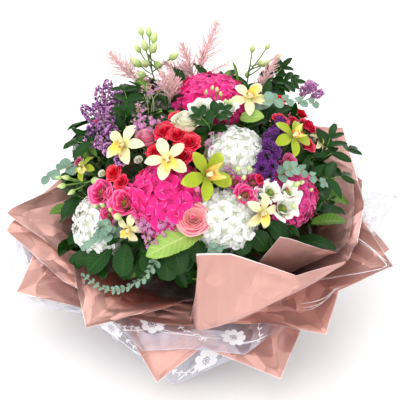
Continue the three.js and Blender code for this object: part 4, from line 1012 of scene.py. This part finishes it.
def twig(piece, path, look, *, pairs, size, wide, outline, rise, face=(0, -0.4, 1), stem="twig", thick=1.3):
    """Leaves in pairs along a bowed stem, and one at its end."""
    line = curve_through(path, 14)
    last = len(line) - 1
    piece.add(tube(line, np.linspace(thick, thick * 0.45, len(line)), 5), stem)
    face = np.asarray(face, float)
    for i in range(pairs):
        t = 0.12 + 0.84 * i / max(1, pairs - 1)
        at = np.array([np.interp(t * last, np.arange(len(line)), line[:, c]) for c in range(3)])
        k = min(last - 1, int(t * last))
        along = unit(line[k + 1] - line[k])
        across = unit(np.cross(face, along))
        for side in (-1, 1):
            out = unit(across * side + along * rise + rng.normal(0, 0.12, 3))
            up = unit(face + across * side * rng.uniform(-0.5, 0.2) + rng.normal(0, 0.15, 3))
            scale = rng.uniform(0.85, 1.1) * (1.12 - 0.45 * t)
            piece.add(leaf(size, wide, outline, seed=i * 2 + side + 1), look, aimed(at, out, up, scale))
    end = unit(line[-1] - line[-2])
    piece.add(leaf(size * 0.8, wide * 0.7, outline), look, aimed(line[-1] - end * 2, end, face))


def sprigs(name, slot, look, foot, root, runs, **options):
    """Twigs from one root, each through a seen bend to its seen tip; both are pixel, lift."""
    piece = Piece(name + "_sprigs")
    for bend, bend_lift, end, end_lift in runs:
        path = [on_dome(foot, root), on_dome(bend, bend_lift), on_dome(end, end_lift)]
        twig(piece, path, look, **options)
    piece.make(slot, name)


# Name, foot, lift of the foot, pairs of leaves, leaf length and half width, runs.
EUCALYPTUS = (
    ("eucalyptus_top", (256, 112), TWIG_ROOT, 7, 21, 10, (((272, 100), 30, (316, 104), 34),)),
    ("eucalyptus_right", (276, 178), -4, 6, 17, 8, (((296, 168), 28, (324, 184), 24),)),
    ("eucalyptus_left", (84, 172), TWIG_ROOT, 4, 26, 12.5, (((66, 168), 16, (48, 178), 26),)),
    ("eucalyptus_low", (118, 236), TWIG_ROOT, 7, 19, 9, (
        ((104, 234), 22, (84, 246), 14), ((108, 226), 18, (100, 232), 22))),
    ("eucalyptus_front", (218, 242), -4, 5, 15, 7.5, (((218, 247), 10, (212, 252), 12),)),
)
for name, foot, root, pairs, size, wide, runs in EUCALYPTUS:
    sprigs(name, "sage_leaves", "sage", foot, root, runs, pairs=pairs, size=size, wide=wide,
           outline=ROUND_LEAF, rise=0.35)

# Name, foot, pairs of leaves, leaf length and half width, runs.
DARK_LEAVES = (
    ("leaves_right", (314, 166), 3, 50, 10, (
        ((330, 154), 14, (348, 150), 32), ((326, 178), 10, (342, 176), 22),
        ((326, 148), 10, (330, 138), 22))),
    ("leaves_left", (112, 130), 3, 40, 11, (
        ((92, 142), 10, (76, 142), 14), ((126, 104), 6, (124, 90), 12), ((126, 118), 10, (120, 112), 14))),
    ("leaves_top_right", (262, 90), 4, 36, 9, (
        ((272, 78), 16, (282, 68), 28), ((280, 82), 8, (292, 82), 12))),
    ("leaves_mid", (210, 134), 3, 32, 9, (
        ((209, 126), 14, (200, 116), 20), ((214, 118), 10, (222, 112), 14))),
)
for name, foot, pairs, size, wide, runs in DARK_LEAVES:
    sprigs(name, "dark_leaves", "leaf", foot, TWIG_ROOT, runs, pairs=pairs, size=size, wide=wide,
           outline=OVAL, rise=0.7, stem="stalk")

sprig = Piece("leaves_back_sprig")
back_path = [dome_point(150, 60, -24), dome_point(148, 72, 12), dome_point(146, 90, 26)]
twig(sprig, back_path, "leaf", pairs=4, size=58, wide=16, outline=OVAL, rise=0.6, face=(-0.3, 0.5, 1),
     stem="stalk")
sprig.make("dark_leaves", "leaves_back")

# Seen points of the trailing sprig, with their lifts.
TRAIL = (((162, 248), 0), ((148, 274), 12), ((128, 287), 18), ((106, 290), 22), ((84, 276), 24))
trail = Piece("eucalyptus_trailing_sprig")
twig(trail, [on_dome(pixel, lift) for pixel, lift in TRAIL], "sage", pairs=15, size=12, wide=4.2,
     outline=ROUND_LEAF, rise=0.7, thick=1.1)
trail.make("sage_leaves", "eucalyptus_trailing")


def broad(piece, look, root, tip, wide, lift, bend=-34, teeth=11):
    """Broad toothed leaf from its seen root to its seen tip."""
    base, end = on_dome(root, -12), on_dome(tip, lift)
    length = np.linalg.norm(end - base) * 1.04
    blade = leaf(length, wide, OVAL, bend=bend, teeth=teeth, seed=int(wide + tip[0]))
    piece.add(blade, look, aimed(base, end - base + np.array([0, 0, 3.0]), unit((0, -0.6, 1.0))))


front_leaf = Piece("leaf_lime_front_blade")
broad(front_leaf, "fresh", (206, 228), (149, 257), 23, 18, bend=-12, teeth=20)
front_leaf.make("lime_leaves", "leaf_lime_front")

# Seen root and tip, half width, lift of the tip.
LOW_LEAVES = (
    ((106, 256), (70, 262), 16, 16), ((112, 246), (90, 272), 20, 12), ((126, 244), (122, 276), 18, 12),
    ((172, 240), (180, 274), 21, 12), ((200, 240), (194, 262), 17, 2), ((240, 238), (243, 256), 17, 4),
    ((252, 232), (266, 250), 18, 4), ((268, 224), (288, 240), 18, 6), ((84, 248), (60, 248), 14, 12),
    ((150, 250), (150, 274), 18, 6), ((222, 236), (228, 252), 16, 2), ((98, 252), (104, 280), 15, 10),
    ((142, 256), (146, 280), 17, 2), ((166, 256), (168, 282), 17, 2), ((184, 250), (184, 272), 16, 0),
    ((120, 256), (128, 279), 16, 4), ((86, 254), (78, 272), 15, 6), ((74, 240), (60, 258), 14, 8),
)
low_leaves = Piece("leaves_low_blades")
for root, tip, wide, lift in LOW_LEAVES:
    broad(low_leaves, "leaf", root, tip, wide, lift)
low_leaves.make("dark_leaves", "leaves_low")

right_leaf = Piece("leaf_lime_right_blade")
broad(right_leaf, "fresh", (240, 118), (264, 119), 13, 8, bend=-20, teeth=14)
right_leaf.make("lime_leaves")

# Plumes, spires and the front lime leaf, which the undergrowth keeps off too: seen at, lift, radius.
SHOWN = (((168, 86), 24, 34), ((186, 76), 24, 26), ((178, 243), 14, 32), ((100, 100), 20, 22),
         ((270, 145), 14, 22))
for pixel, lift, wide in SHOWN:
    keep_clear(on_dome(pixel, lift), wide)


def covers_bloom(*points):
    """Whether any of a few points lies in front of or inside a bloom."""
    for at, axis, wide in BLOOMS:
        for point in points:
            gap = point - at
            along = gap @ axis
            if along > -wide * 0.9 and np.linalg.norm(gap - along * axis) < wide + 5:
                return True
    return False


# Bearings, radius and top of the room that the film leaves where it stands up at the front.
FRONT_FROM, FRONT_TO, FRONT_RADIUS, FRONT_TOP = -105, -10, 238, 325


def meets_film(point):
    """Whether a point reaches the film that stands up at the front."""
    bearing = math.degrees(math.atan2(point[1], point[0]))
    beyond = math.hypot(point[0], point[1]) > FRONT_RADIUS
    return FRONT_FROM < bearing < FRONT_TO and beyond and point[2] < FRONT_TOP


# Leaves, lift, how far they point outward, and tilts of the first and last, for each shell.
SHELLS = ((480, -18, 0.4, (6, 98)), (440, -42, 0.25, (0, 106)), (300, -76, 0.3, (0, 112)))
# Lift below which a leaf may pass under a bloom, and lengths of a leaf and of its stalk.
UNDER_BLOOMS, FILLER_LENGTH, FILLER_STALK = -40, 46, 24


def undergrowth():
    """Leaves that fill the bunch between and below the blooms, all the way round."""
    piece = Piece("undergrowth_leaves")
    kinds = [leaf(FILLER_LENGTH, 10, OVAL, seed=k) for k in range(4)]
    kinds += [leaf(44, 7.5, LANCE, seed=k) for k in range(4, 9)]
    for count, lift, outward, (low, high) in SHELLS:
        for i in range(count):
            share = (i + 0.5) / count
            level = math.cos(math.radians(low)) * (1 - share) + math.cos(math.radians(high)) * share
            tilt = math.degrees(math.acos(level))
            point = dome_point(math.degrees(i * GOLDEN), tilt, lift + rng.uniform(-7, 7))
            normal = growth(point)
            drift = rng.normal(0, 1, 3)
            drift = unit(drift - normal * (drift @ normal) + np.array([0, 0, 0.2]))
            way = unit(drift + normal * outward)
            look = "leaf" if rng.random() < 0.88 else "leaf_mid"
            scale = rng.uniform(0.75, 1.2)
            middle, tip = point + way * 24 * scale, point + way * FILLER_LENGTH * scale
            if meets_film(tip) or lift > UNDER_BLOOMS and covers_bloom(middle, tip):
                continue
            face = normal + rng.normal(0, 0.3, 3)
            piece.add(kinds[i % len(kinds)], look, aimed(point, way, face, scale))
            piece.add(tube([point - normal * FILLER_STALK, point], 1.0, 4), "stalk")
    piece.make("dark_leaves")


def leafy_collar():
    """Broad leaves that reach out under the dome at its sides and back."""
    piece = Piece("collar_leaves")
    for i in range(30):
        bearing = i * 12 + rng.uniform(-4, 4)
        if -150 < (bearing + 180) % 360 - 180 < -40:
            continue
        base = dome_point(bearing, 92, -28)
        out = dome_point(bearing + rng.uniform(-9, 9), 97, 34) - base + np.array([0, 0, 16.0])
        piece.add(leaf(64, 16, OVAL, teeth=11, seed=i), "leaf" if i % 4 else "leaf_mid",
                  aimed(base, out, (0, 0, 1), rng.uniform(0.85, 1.1)))
    piece.make("dark_leaves")


undergrowth()
leafy_collar()

# ---- wrapping films: nested square sheets gathered at the tie, from the inmost out ----
# Each rim is bearing, radius, height and, where the edge is turned up, fold radius and fold height.
SHEETS = {
    "wrap_pink_inner": (
        (-180, 370, 236), (-160, 275, 214), (-150, 268, 212), (-127, 328, 176), (-95, 236, 212),
        (-79, 240, 226), (-69, 257, 298, 238, 232), (-63, 285, 372, 243, 238), (-36, 296, 272, 262, 236),
        (-20, 290, 246), (0, 296, 246), (21, 330, 252), (45, 300, 250), (80, 392, 336), (110, 320, 268),
        (140, 312, 244), (164, 288, 240)),
    "wrap_pink_flap": (
        (-176, 371, 212), (-150, 290, 190), (-120, 258, 172), (-93, 252, 182), (-91.5, 281, 356, 302, 199),
        (-79, 267, 342, 303, 222), (-58, 303, 292, 316, 264), (-36, 318, 266, 318, 254), (-18, 304, 234),
        (5, 320, 234), (40, 396, 264), (70, 320, 254), (108, 400, 296), (145, 310, 228)),
    "wrap_pink_mid": (
        (-157, 369, 160), (-125, 258, 156), (-95, 250, 166), (-66, 262, 168), (-49, 337, 152),
        (-36, 306, 194), (-22, 377, 214), (0, 308, 222), (20, 350, 226), (40, 330, 226), (62, 400, 270),
        (98, 320, 236), (135, 340, 222), (160, 316, 210), (-178, 300, 196)),
    "film_clear_upper": (
        (-158, 376, 134), (-130, 262, 148), (-111, 284, 126), (-95, 264, 128), (-74, 284, 122),
        (-52, 262, 144), (-30, 306, 178), (7, 388, 236), (18, 330, 212), (30, 414, 246), (65, 330, 226),
        (120, 405, 244), (150, 330, 200), (178, 372, 190)),
    "wrap_pink_outer": (
        (-168, 330, 144), (-140, 266, 138), (-122, 254, 134), (-104, 314, 88), (-89, 250, 120),
        (-64, 322, 80), (-43, 268, 134), (-8, 366, 182), (25, 320, 190), (50, 388, 222), (85, 326, 208),
        (118, 388, 218), (150, 318, 180), (172, 376, 160)),
    "film_clear_lower": (
        (-150, 285, 118), (-125, 250, 84), (-102, 238, 4), (-80, 246, 74), (-50, 262, 104), (-25, 280, 134),
        (5, 350, 160), (35, 320, 170), (75, 330, 184), (130, 372, 184), (165, 320, 140)),
}
# Widest turn between two columns of a rim, and the radius out to which a sheet lies on its bed.
WIDEST_TURN, SHELF = 24, 200
# Rough length of a sheet's run from the tie to its edge, and how far out it reaches.
SHEET_RUN, SHEET_REACH = 330, 280
# Shares of a sheet's run from the tie to its edge: of its five knots, and of its rows of points.
KNOT_SHARES = (0.0, 0.09, 0.55, 0.78, 1.0)
SHARES = np.concatenate([np.linspace(0, 0.97, 54), [0.982, 0.992, 0.996, 1.0]])
# Even columns round a sheet, and the height that its points stay above.
COLUMNS, LOWEST = 288, 0.8


def ring(bearing, r, z):
    b = math.radians(bearing)
    return np.array([r * math.cos(b), r * math.sin(b), z])


def bed(bearing, radius):
    """Height of the funnel that the films lie on; it is low at the front and high at the back."""
    facing = math.cos(math.radians(bearing + 95))
    front = max(0.0, facing) ** 1.2
    outer = 228 - 50 * front + 34 * max(0.0, -facing)
    return float(np.interp(radius, (NECK_RADIUS, SHELF, 310), (TIE_HEIGHT + 6, 192 - 6 * front, outer)))


def pleat(bearing, radius):
    b = math.radians(bearing)
    return (math.sin(5 * b + 1) + 0.6 * math.sin(8 * b)) * radius * 0.012


def rim_columns(rim):
    """Rim points with straight edges between the corners, as (bearing, radius, height, fold)."""
    full = []
    for i, a in enumerate(rim):
        b = rim[(i + 1) % len(rim)]
        turn = (b[0] - a[0] + 720) % 360
        steps = max(1, math.ceil(turn / WIDEST_TURN))
        pa, pb = ring(*a[:3]), ring(*b[:3])
        for s in range(steps):
            bearing = a[0] + turn * s / steps
            u = ring(bearing, 1, 0)
            ca = pa[0] * u[1] - pa[1] * u[0]
            cb = pb[0] * u[1] - pb[1] * u[0]
            k = 0.0 if s == 0 else ca / (ca - cb)
            edge = pa + (pb - pa) * k
            fold = None
            if len(a) > 3 and (len(b) > 3 or s == 0):
                other = b if len(b) > 3 else a
                fold = (a[3] + (other[3] - a[3]) * k, a[4] + (other[4] - a[4]) * k)
            full.append((bearing, math.hypot(edge[0], edge[1]), edge[2], fold))
    return full


def lattice(x, y, cell, seed):
    """Facets with sharp folds between them, as in a crumpled film; -1 to 1."""
    def height(i, j):
        h = np.sin(i * 127.1 + j * 311.7 + seed * 74.7) * 43758.5453
        return 2 * (h - np.floor(h)) - 1

    gx = x / cell + 0.35 * np.sin(y / cell * 1.3 + seed)
    gy = y / cell + 0.35 * np.sin(x / cell * 1.1 + seed * 2)
    i, j = np.floor(gx), np.floor(gy)
    fx, fy = gx - i, gy - j
    low = height(i, j) * (1 - fx - fy) + height(i + 1, j) * fx + height(i, j + 1) * fy
    high = height(i + 1, j + 1) * (fx + fy - 1) + height(i, j + 1) * (1 - fx) + height(i + 1, j) * (1 - fy)
    return np.where(fx + fy < 1, low, high)


def drape(order, bearing, radius):
    """Height of a sheet at a radius; each lies a little below the one inside it."""
    down = order * (LAYER_STEP + (radius - NECK_RADIUS) * 0.016)
    return bed(bearing, radius) - down + pleat(bearing, radius)


def knot_columns(order, rim):
    """Bearings of a sheet's columns, and the five knots of each from below the tie to the rim."""
    out = order * LAYER_STEP
    rim = rim_columns(rim)
    columns = []
    for bearing, r, z, fold in rim:
        shelf = drape(order, bearing, SHELF)
        turn_up = fold or ((SHELF + r) / 2, (shelf + z) / 2)
        path = ((NECK_RADIUS + 2 + out, TIE_HEIGHT - 20), (NECK_RADIUS + out, TIE_HEIGHT + 6 - 0.62 * out),
                (SHELF, shelf), turn_up, (r, z))
        columns.append([ring(bearing, *knot) for knot in path])
    return np.unwrap(np.radians([column[0] for column in rim])), np.array(columns)


def softened(points):
    """Rounds a sheet off along and across its rows, and leaves its outer edge straight."""
    firm = smooth(SHARES, 0.86, 1.0)[:, None, None]
    for _ in range(3):
        soft = (np.roll(points, 1, 1) + points * 2 + np.roll(points, -1, 1)) / 4
        points = soft * (1 - firm) + points * firm
        inner = (points[:-2] + points[1:-1] * 2 + points[2:]) / 4
        points = np.concatenate([points[:1], inner, points[-1:]])
    return points


def crumples(order, wanted):
    """Height of a sheet's creases: those all sheets share, its own, and the gathers at the neck."""
    run = SHARES[:, None]
    x = wanted[None, :] * 210 * (0.35 + 0.65 * run)
    y = run * SHEET_RUN + 0 * wanted[None, :]
    free = smooth(run, 0.25, 0.95)
    common = 1.3 * lattice(x, y, 62, 3) + 0.6 * lattice(x, y, 23, 5) + 3.0 * lattice(x, y, 96, 7) * free
    own = (5.5 * lattice(x, y, 78, 10 + order) + 3.0 * lattice(x, y, 37, 30 + order)
           + lattice(x, y, 16, 50 + order)) * free ** 1.5
    gather = 1.6 * np.sin(23 * wanted)[None, :] * smooth(run, 0.02, 0.2) * (1 - smooth(run, 0.3, 0.7))
    return common * (0.3 + 0.7 * free) + own + gather


def film(order, rim):
    """Dense grid of points of a sheet, (rows, bearings, 3), with its normals and its bearings."""
    bearings, columns = knot_columns(order, rim)
    closed = np.concatenate([columns, columns[:1]])
    spots = np.concatenate([bearings, [bearings[0] + 2 * np.pi]])
    wanted = bearings[0] + np.arange(COLUMNS) / COLUMNS * 2 * np.pi
    wanted = np.sort(np.concatenate([wanted, bearings[1:]]))
    knots = np.array([[np.interp(wanted, spots, closed[:, k, c]) for c in range(3)] for k in range(5)])
    rows = [[np.interp(SHARES, KNOT_SHARES, knots[:, c, i]) for i in range(len(wanted))] for c in range(3)]
    points = softened(np.array(rows).transpose(2, 1, 0))
    around = np.roll(points, -1, 1) - np.roll(points, 1, 1)
    normal = np.cross(np.gradient(points, axis=0), around)
    normal /= np.linalg.norm(normal, axis=2)[..., None] + 1e-9
    points = points + normal * crumples(order, wanted)[..., None]
    points[..., 2] = np.maximum(points[..., 2], LOWEST)
    return points, normal, wanted


def film_piece(name, order, rim):
    """Makes a sheet with its seam at the back; its fourth tint channel is painted light, in painted shade
    deep in the wrap and rising to full light further out.
    """
    points, normal, wanted = film(order, rim)
    clear = name.startswith("film")
    reach = np.hypot(points[..., 0], points[..., 1])
    # Painted light: full towards the rim, fading to painted shade where the film lies under the flowers near
    # the tie.
    lit = smooth(reach, 195, 290) if order == 0 else smooth(reach, 110, 240)
    from_back = (np.searchsorted(wanted, np.pi / 2) + np.arange(len(wanted) + 1)) % len(wanted)
    x, y, z = points[:, from_back].transpose(2, 0, 1)
    turn = np.unwrap(wanted[from_back]) / (2 * np.pi)
    part = grid(x, y, z, SHARES[:, None], turn[None, :], lit[:, from_back])
    sheet = Piece(name + "_sheet").add(part, "clear" if clear else "wrap", pick=order / len(SHEETS))
    made = sheet.make("clear_film" if clear else "satin_film", name)
    return points, normal, wanted


films = {name: film_piece(name, order, rim) for order, (name, rim) in enumerate(SHEETS.items())}

# ---- white print on the films: plain blossoms, leafy vines and long strands ----
PRINT_OFFSET = 0.35


def on_film(name, bearing, share, flat):
    """Maps flat print points, in mm round a centre, onto a film, just outside it."""
    points, normal, wanted = films[name]
    start = math.radians(bearing)
    start += 2 * np.pi * math.ceil((wanted[0] - start) / (2 * np.pi))
    b = start + flat[:, 0] / (NECK_RADIUS + SHEET_REACH * share)
    s = np.clip(share + flat[:, 1] / SHEET_RUN, 0.02, 0.985)
    column = np.interp(b, wanted, np.arange(len(wanted)))
    row = np.interp(s, SHARES, np.arange(len(SHARES)))
    i = np.minimum(np.floor(row).astype(int), len(SHARES) - 2)
    j = np.minimum(np.floor(column).astype(int), len(wanted) - 2)
    fi, fj = (row - i)[:, None], (column - j)[:, None]

    def sample(a):
        return (a[i, j] * (1 - fi) * (1 - fj) + a[i + 1, j] * fi * (1 - fj) + a[i, j + 1] * (1 - fi) * fj
                + a[i + 1, j + 1] * fi * fj)

    return sample(points) + sample(normal) * PRINT_OFFSET


def fan(outline):
    """Filled flat shape round its middle, as points, quads and triangles."""
    n = len(outline)
    points = np.vstack([outline.mean(0), outline])
    return points, NO_QUADS, np.array([[0, 1 + i, 1 + (i + 1) % n] for i in range(n)])


def strip(line, width):
    """Flat band along a line, tapering to its ends."""
    way = np.gradient(line, axis=0)
    side = np.column_stack([-way[:, 1], way[:, 0]]) / (np.linalg.norm(way, axis=1)[:, None] + 1e-9)
    n = len(line)
    taper = (width * (0.35 + 0.65 * np.sin(np.linspace(0.1, 3.0, n))))[:, None]
    points = np.vstack([line + side * taper, line - side * taper])
    return points, np.array([[i, i + 1, n + i + 1, n + i] for i in range(n - 1)]), NO_TRIS


def circle(count):
    return np.linspace(0, 2 * np.pi, count, endpoint=False)


def flat_turn(angle):
    c, s = math.cos(angle), math.sin(angle)
    return np.array([[c, s], [-s, c]])


def blossom(size, count, turn):
    """Plain blossom of separate rounded petals with a ring of dots."""
    shapes = []
    a = circle(18)
    across = size * 0.23 * np.sin(a) * (1.15 + 0.35 * np.cos(a))
    oval = np.column_stack([size * (0.62 + 0.36 * np.cos(a)), across])
    dot = np.column_stack([np.cos(a), np.sin(a)]) * size * 0.045
    for k in range(count):
        b = turn + 2 * np.pi * k / count
        shapes.append(fan(oval @ flat_turn(b)))
        shapes.append(fan(dot + size * 0.17 * np.array([math.cos(b + 0.3), math.sin(b + 0.3)])))
    return shapes


def vine(length, swing, turn, leaves=5):
    """Wavy stem with small paired leaves and a curl at its end."""
    t = np.linspace(0, 1, 40)
    line = np.column_stack([length * (t - 0.5), swing * np.sin(5.2 * t)])
    spin = flat_turn(turn)
    shapes = [strip(line @ spin, 0.85)]
    a = circle(12)
    oval = np.column_stack([4.4 + 4.4 * np.cos(a), 1.9 * np.sin(a)])
    for k in range(leaves):
        for side in (-1, 1):
            shapes.append(fan((oval @ flat_turn(0.9 * side) + line[5 + k * 7]) @ spin))
    q = np.linspace(0, 1, 30)
    curl = np.column_stack([np.cos(9 * q), np.sin(9 * q)]) * (9 * (1 - q) ** 0.8)[:, None]
    shapes.append(strip((curl - curl[0] + line[-1]) @ spin, 0.7))
    return shapes


def sweep(length, swing, turn):
    """A few long strands that run side by side and part."""
    t = np.linspace(0, 1, 46)
    shapes = []
    for k in range(3):
        line = np.column_stack([length * (t - 0.5), swing * np.sin(2.6 * t + 0.5 * k) + 5 * k * (t - 0.3)])
        shapes.append(strip(line @ flat_turn(turn), 0.9 - 0.2 * k))
    return shapes


def spot(name, pixel):
    """Bearing and share of a film where it is seen."""
    points, _, wanted = films[name]
    gap = points - EYE
    depth = gap @ VIEW
    focus = VIEW_DISTANCE / MM_PER_PIXEL
    px = PHOTO_MIDDLE + gap[..., 0] / depth * focus
    py = PHOTO_MIDDLE - gap @ VIEW_UP / depth * focus
    row, column = np.unravel_index(np.argmin((px - pixel[0]) ** 2 + (py - pixel[1]) ** 2), px.shape)
    return math.degrees(wanted[column]), min(SHARES[row], 0.93)


def printed(name, blossoms, vines, behind=9, leafy=True):
    """Print of a film: motifs where they are seen, and a row of them round the back."""
    piece = Piece(name + "_print")
    draw = np.random.default_rng(len(name))
    motifs = [(*spot(name, p), blossom(draw.uniform(23, 33), 8, draw.uniform(0, 3))) for p in blossoms]
    if leafy:
        motifs += [(*spot(name, p), vine(88, draw.uniform(8, 14), draw.uniform(-1.2, 1.2))) for p in vines]
    motifs += [(*spot(name, p), sweep(170, draw.uniform(10, 22), draw.uniform(-0.9, 0.9))) for p in vines]
    for k in range(behind):
        bearing, share = 14 + 20 * k + draw.uniform(-4, 4), draw.uniform(0.7, 0.88)
        motifs.append((bearing, share, blossom(draw.uniform(18, 24), 7, draw.uniform(0, 3))))
        motifs.append((bearing + 10, share - 0.12, vine(80, draw.uniform(8, 14), draw.uniform(-1, 1))))
    for bearing, share, shapes in motifs:
        for flat, quads, tris in shapes:
            points = on_film(name, bearing, share, flat)
            piece.add((points, quads, tris, np.full((len(points), 3), 0.5)), "print", pick=0.5)
    piece.make("clear_film")


# Seen places of the blossoms, and those of the vines and strands.
printed(
    "film_clear_upper",
    ((152, 324), (232, 338), (352, 180), (374, 222), (40, 282), (84, 318), (314, 330)),
    ((190, 330), (262, 344), (384, 196), (356, 240), (60, 300), (26, 262), (122, 330)))
printed(
    "film_clear_lower",
    ((206, 366), (160, 356), (108, 338), (352, 300)),
    ((182, 372), (232, 358), (134, 346), (340, 280), (76, 326)))
printed("wrap_pink_mid", (), ((344, 286), (366, 252), (376, 270), (30, 250)), behind=0, leafy=False)

# ---- stems, twine and ribbon ----
STEMS, TWINE_TURNS, TWINE_STEPS = 34, 11, 24
# Height of the standing feet, the gap kept above the floor, and how far a cut end bulges.
FOOT_HEIGHT, FLOOR_GAP, CUT_BULGE = 0.2, 0.1, 0.15


def build_stems():
    """Spiral of stems, every second one standing on the floor, and the twine round the tie."""
    piece = Piece("stem_bundle")
    for i in range(STEMS):
        bearing = math.degrees(i * GOLDEN)
        outer = i % 2 == 0
        foot_r = FOOT_RADIUS * (rng.uniform(0.86, 0.99) if outer else rng.uniform(0.35, 0.8))
        foot_z = FOOT_HEIGHT if outer else rng.uniform(2, 16)
        tie_r = TIE_RADIUS * (0.82 if outer else rng.uniform(0.15, 0.6))
        foot = ring(bearing, foot_r, foot_z)
        waist = ring(bearing - 38, tie_r, TIE_HEIGHT)
        high = ring(bearing - 82, tie_r + 62, 210 + rng.uniform(-10, 10))
        top = ring(bearing - 90, tie_r + 110, 290 + rng.uniform(-20, 30))
        radius = rng.uniform(2.0, 3.3)
        line = curve_through([foot, foot * 0.5 + waist * 0.5, waist, high, top], 26)
        stem = tube(line, radius, 8)
        cap = tube(np.vstack([line[:1], line[:1] + unit(line[0] - line[1]) * CUT_BULGE]), (radius, 0.02), 8)
        for part in (stem, cap):
            part[0][:, 2] = np.maximum(part[0][:, 2], FLOOR_GAP)
        piece.add(stem, "cut_stem" if i % 3 else "stalk")
        piece.add(cap, "bud", pick=0.9)
    a = np.arange(TWINE_TURNS * TWINE_STEPS) / TWINE_STEPS * 2 * np.pi
    r = TIE_RADIUS + 2.2 + 0.3 * np.sin(a * 1.7)
    coil = np.column_stack([r * np.cos(a), r * np.sin(a), TIE_HEIGHT - 5 + a / a[-1] * 10])
    piece.add(tube(coil, 1.0), "twine")
    piece.make("stems", "stems", "stem_ends")


def band_strip(line, wide, wave):
    """Ribbon along a line of (centre, across direction), bulging by wave in its middle."""
    centres = np.array([p for p, _ in line])
    sides = np.array([unit(s) for _, s in line])
    u = np.linspace(-1, 1, 5)
    points = centres[:, None, :] + sides[:, None, :] * (u * wide)[None, :, None]
    normal = np.cross(np.gradient(centres, axis=0), sides)
    normal /= np.linalg.norm(normal, axis=1)[:, None] + 1e-9
    points = points + normal[:, None, :] * (wave * (1 - u ** 2))[None, :, None]
    x, y, z = points.transpose(2, 0, 1)
    return grid(x, y, z, np.linspace(0, 1, len(line))[:, None], 0.5 + 0.5 * u[None, :])


def build_ribbon():
    """Satin band twice round the neck of the films, with a bow of two loops and two tails."""
    piece = Piece("satin_ribbon_bow")
    neck = NECK_RADIUS + 5 * LAYER_STEP + 4.5
    up = np.array([0, 0, 1.0])
    for low in (TIE_HEIGHT - 14, TIE_HEIGHT - 8):
        band = []
        for bearing in range(0, 361, 6):
            height = low + 2 * math.sin(math.radians(bearing * 2))
            band.append((ring(bearing, neck + 0.6 * math.sin(bearing / 9), height), up))
        piece.add(band_strip(band, 4.4, 0.8), "satin", pick=0.5)
    out = ring(60, 1, 0)
    side = ring(150, 1, 0)
    knot = ring(60, neck + 5, TIE_HEIGHT - 12)
    ball = lathe([(0.5, -5), (5.5, -3.5), (7, 0), (5.5, 3.5), (0.5, 5)], 12, lobes=4, deep=0.08)
    piece.add(ball, "satin", frame_at(knot, out))
    for way in (-1, 1):
        loop = []
        for q in np.linspace(0, 1, 21):
            a = q * 2 * math.pi
            reach = 20 * (1 - math.cos(a))
            fat = 9 * math.sin(a)
            centre = knot + side * way * reach + up * (-0.42 * reach + fat * 0.8) + out * (2 + fat * 0.35)
            loop.append((centre, out + up * 0.3 * way))
        piece.add(band_strip(loop, 8.0, 0.6), "satin")
        tail = []
        for q in np.linspace(0, 1, 15):
            centre = knot + side * way * 34 * q ** 0.9 + up * -58 * q + out * (3 + 5 * math.sin(q * 5 + way))
            tail.append((centre, side * 0.9 + up * 0.5 * way + out * 0.4 * math.sin(q * 4)))
        piece.add(band_strip(tail, 7.5, 0.8), "satin")
    piece.make("ribbon", "ribbon")


build_stems()
build_ribbon()

# ---- floor, light and camera (m; the sensor in mm) ----
FLOOR_HALF, SENSOR, WORLD_LIGHT = 6.0, 36.0, 0.9
# Name, place, target, size, power.
LIGHTS = (
    ("key", (-1.2, -1.3, 2.8), (0, 0, 0.3), 2.8, 48),
    ("fill", (2.0, -1.8, 1.6), (0, 0, 0.25), 1.8, 14),
    ("front", (-0.3, -2.6, 0.9), (0, 0, 0.15), 2.4, 14),
    ("rim", (0.6, 2.0, 2.2), (0, 0, 0.4), 1.5, 22),
)


def place_floor():
    mesh = bpy.data.meshes.new("floor")
    corners = [(x * FLOOR_HALF, y * FLOOR_HALF, 0) for x, y in ((-1, -1), (1, -1), (1, 1), (-1, 1))]
    mesh.from_pydata(corners, [], [(0, 1, 2, 3)])
    floor = placed("floor", mesh)
    s = Shader("studio_floor", 0.9)
    mesh.materials.append(s.finish(s.mix(s.noise(3.0), rgb(250, 250, 250), rgb(253, 253, 252))))


def light_scene():
    world = bpy.data.worlds.new("studio")
    bpy.context.scene.world = world
    world.use_nodes = True
    background = world.node_tree.nodes["Background"]
    background.inputs["Color"].default_value = (1, 1, 1, 1)
    background.inputs["Strength"].default_value = WORLD_LIGHT
    for name, place, target, size, power in LIGHTS:
        data = bpy.data.lights.new(name, "AREA")
        data.energy, data.size = power, size
        light = placed(name, data)
        light.location = place
        light.rotation_euler = Vector(np.subtract(target, place)).to_track_quat("-Z", "Y").to_euler()
    bpy.context.scene.view_settings.view_transform = "Standard"


def place_camera():
    data = bpy.data.cameras.new("camera")
    data.sensor_width = SENSOR
    data.lens = SENSOR * VIEW_DISTANCE / (PHOTO_SIZE * MM_PER_PIXEL)
    camera = placed("camera", data)
    m = np.eye(4)
    m[:3, 0], m[:3, 1], m[:3, 2], m[:3, 3] = (1.0, 0, 0), VIEW_UP, -VIEW, (EYE + TIE_AXIS) * MM
    camera.matrix_world = Matrix(m.tolist())
    bpy.context.scene.camera = camera


place_floor()
light_scene()
place_camera()
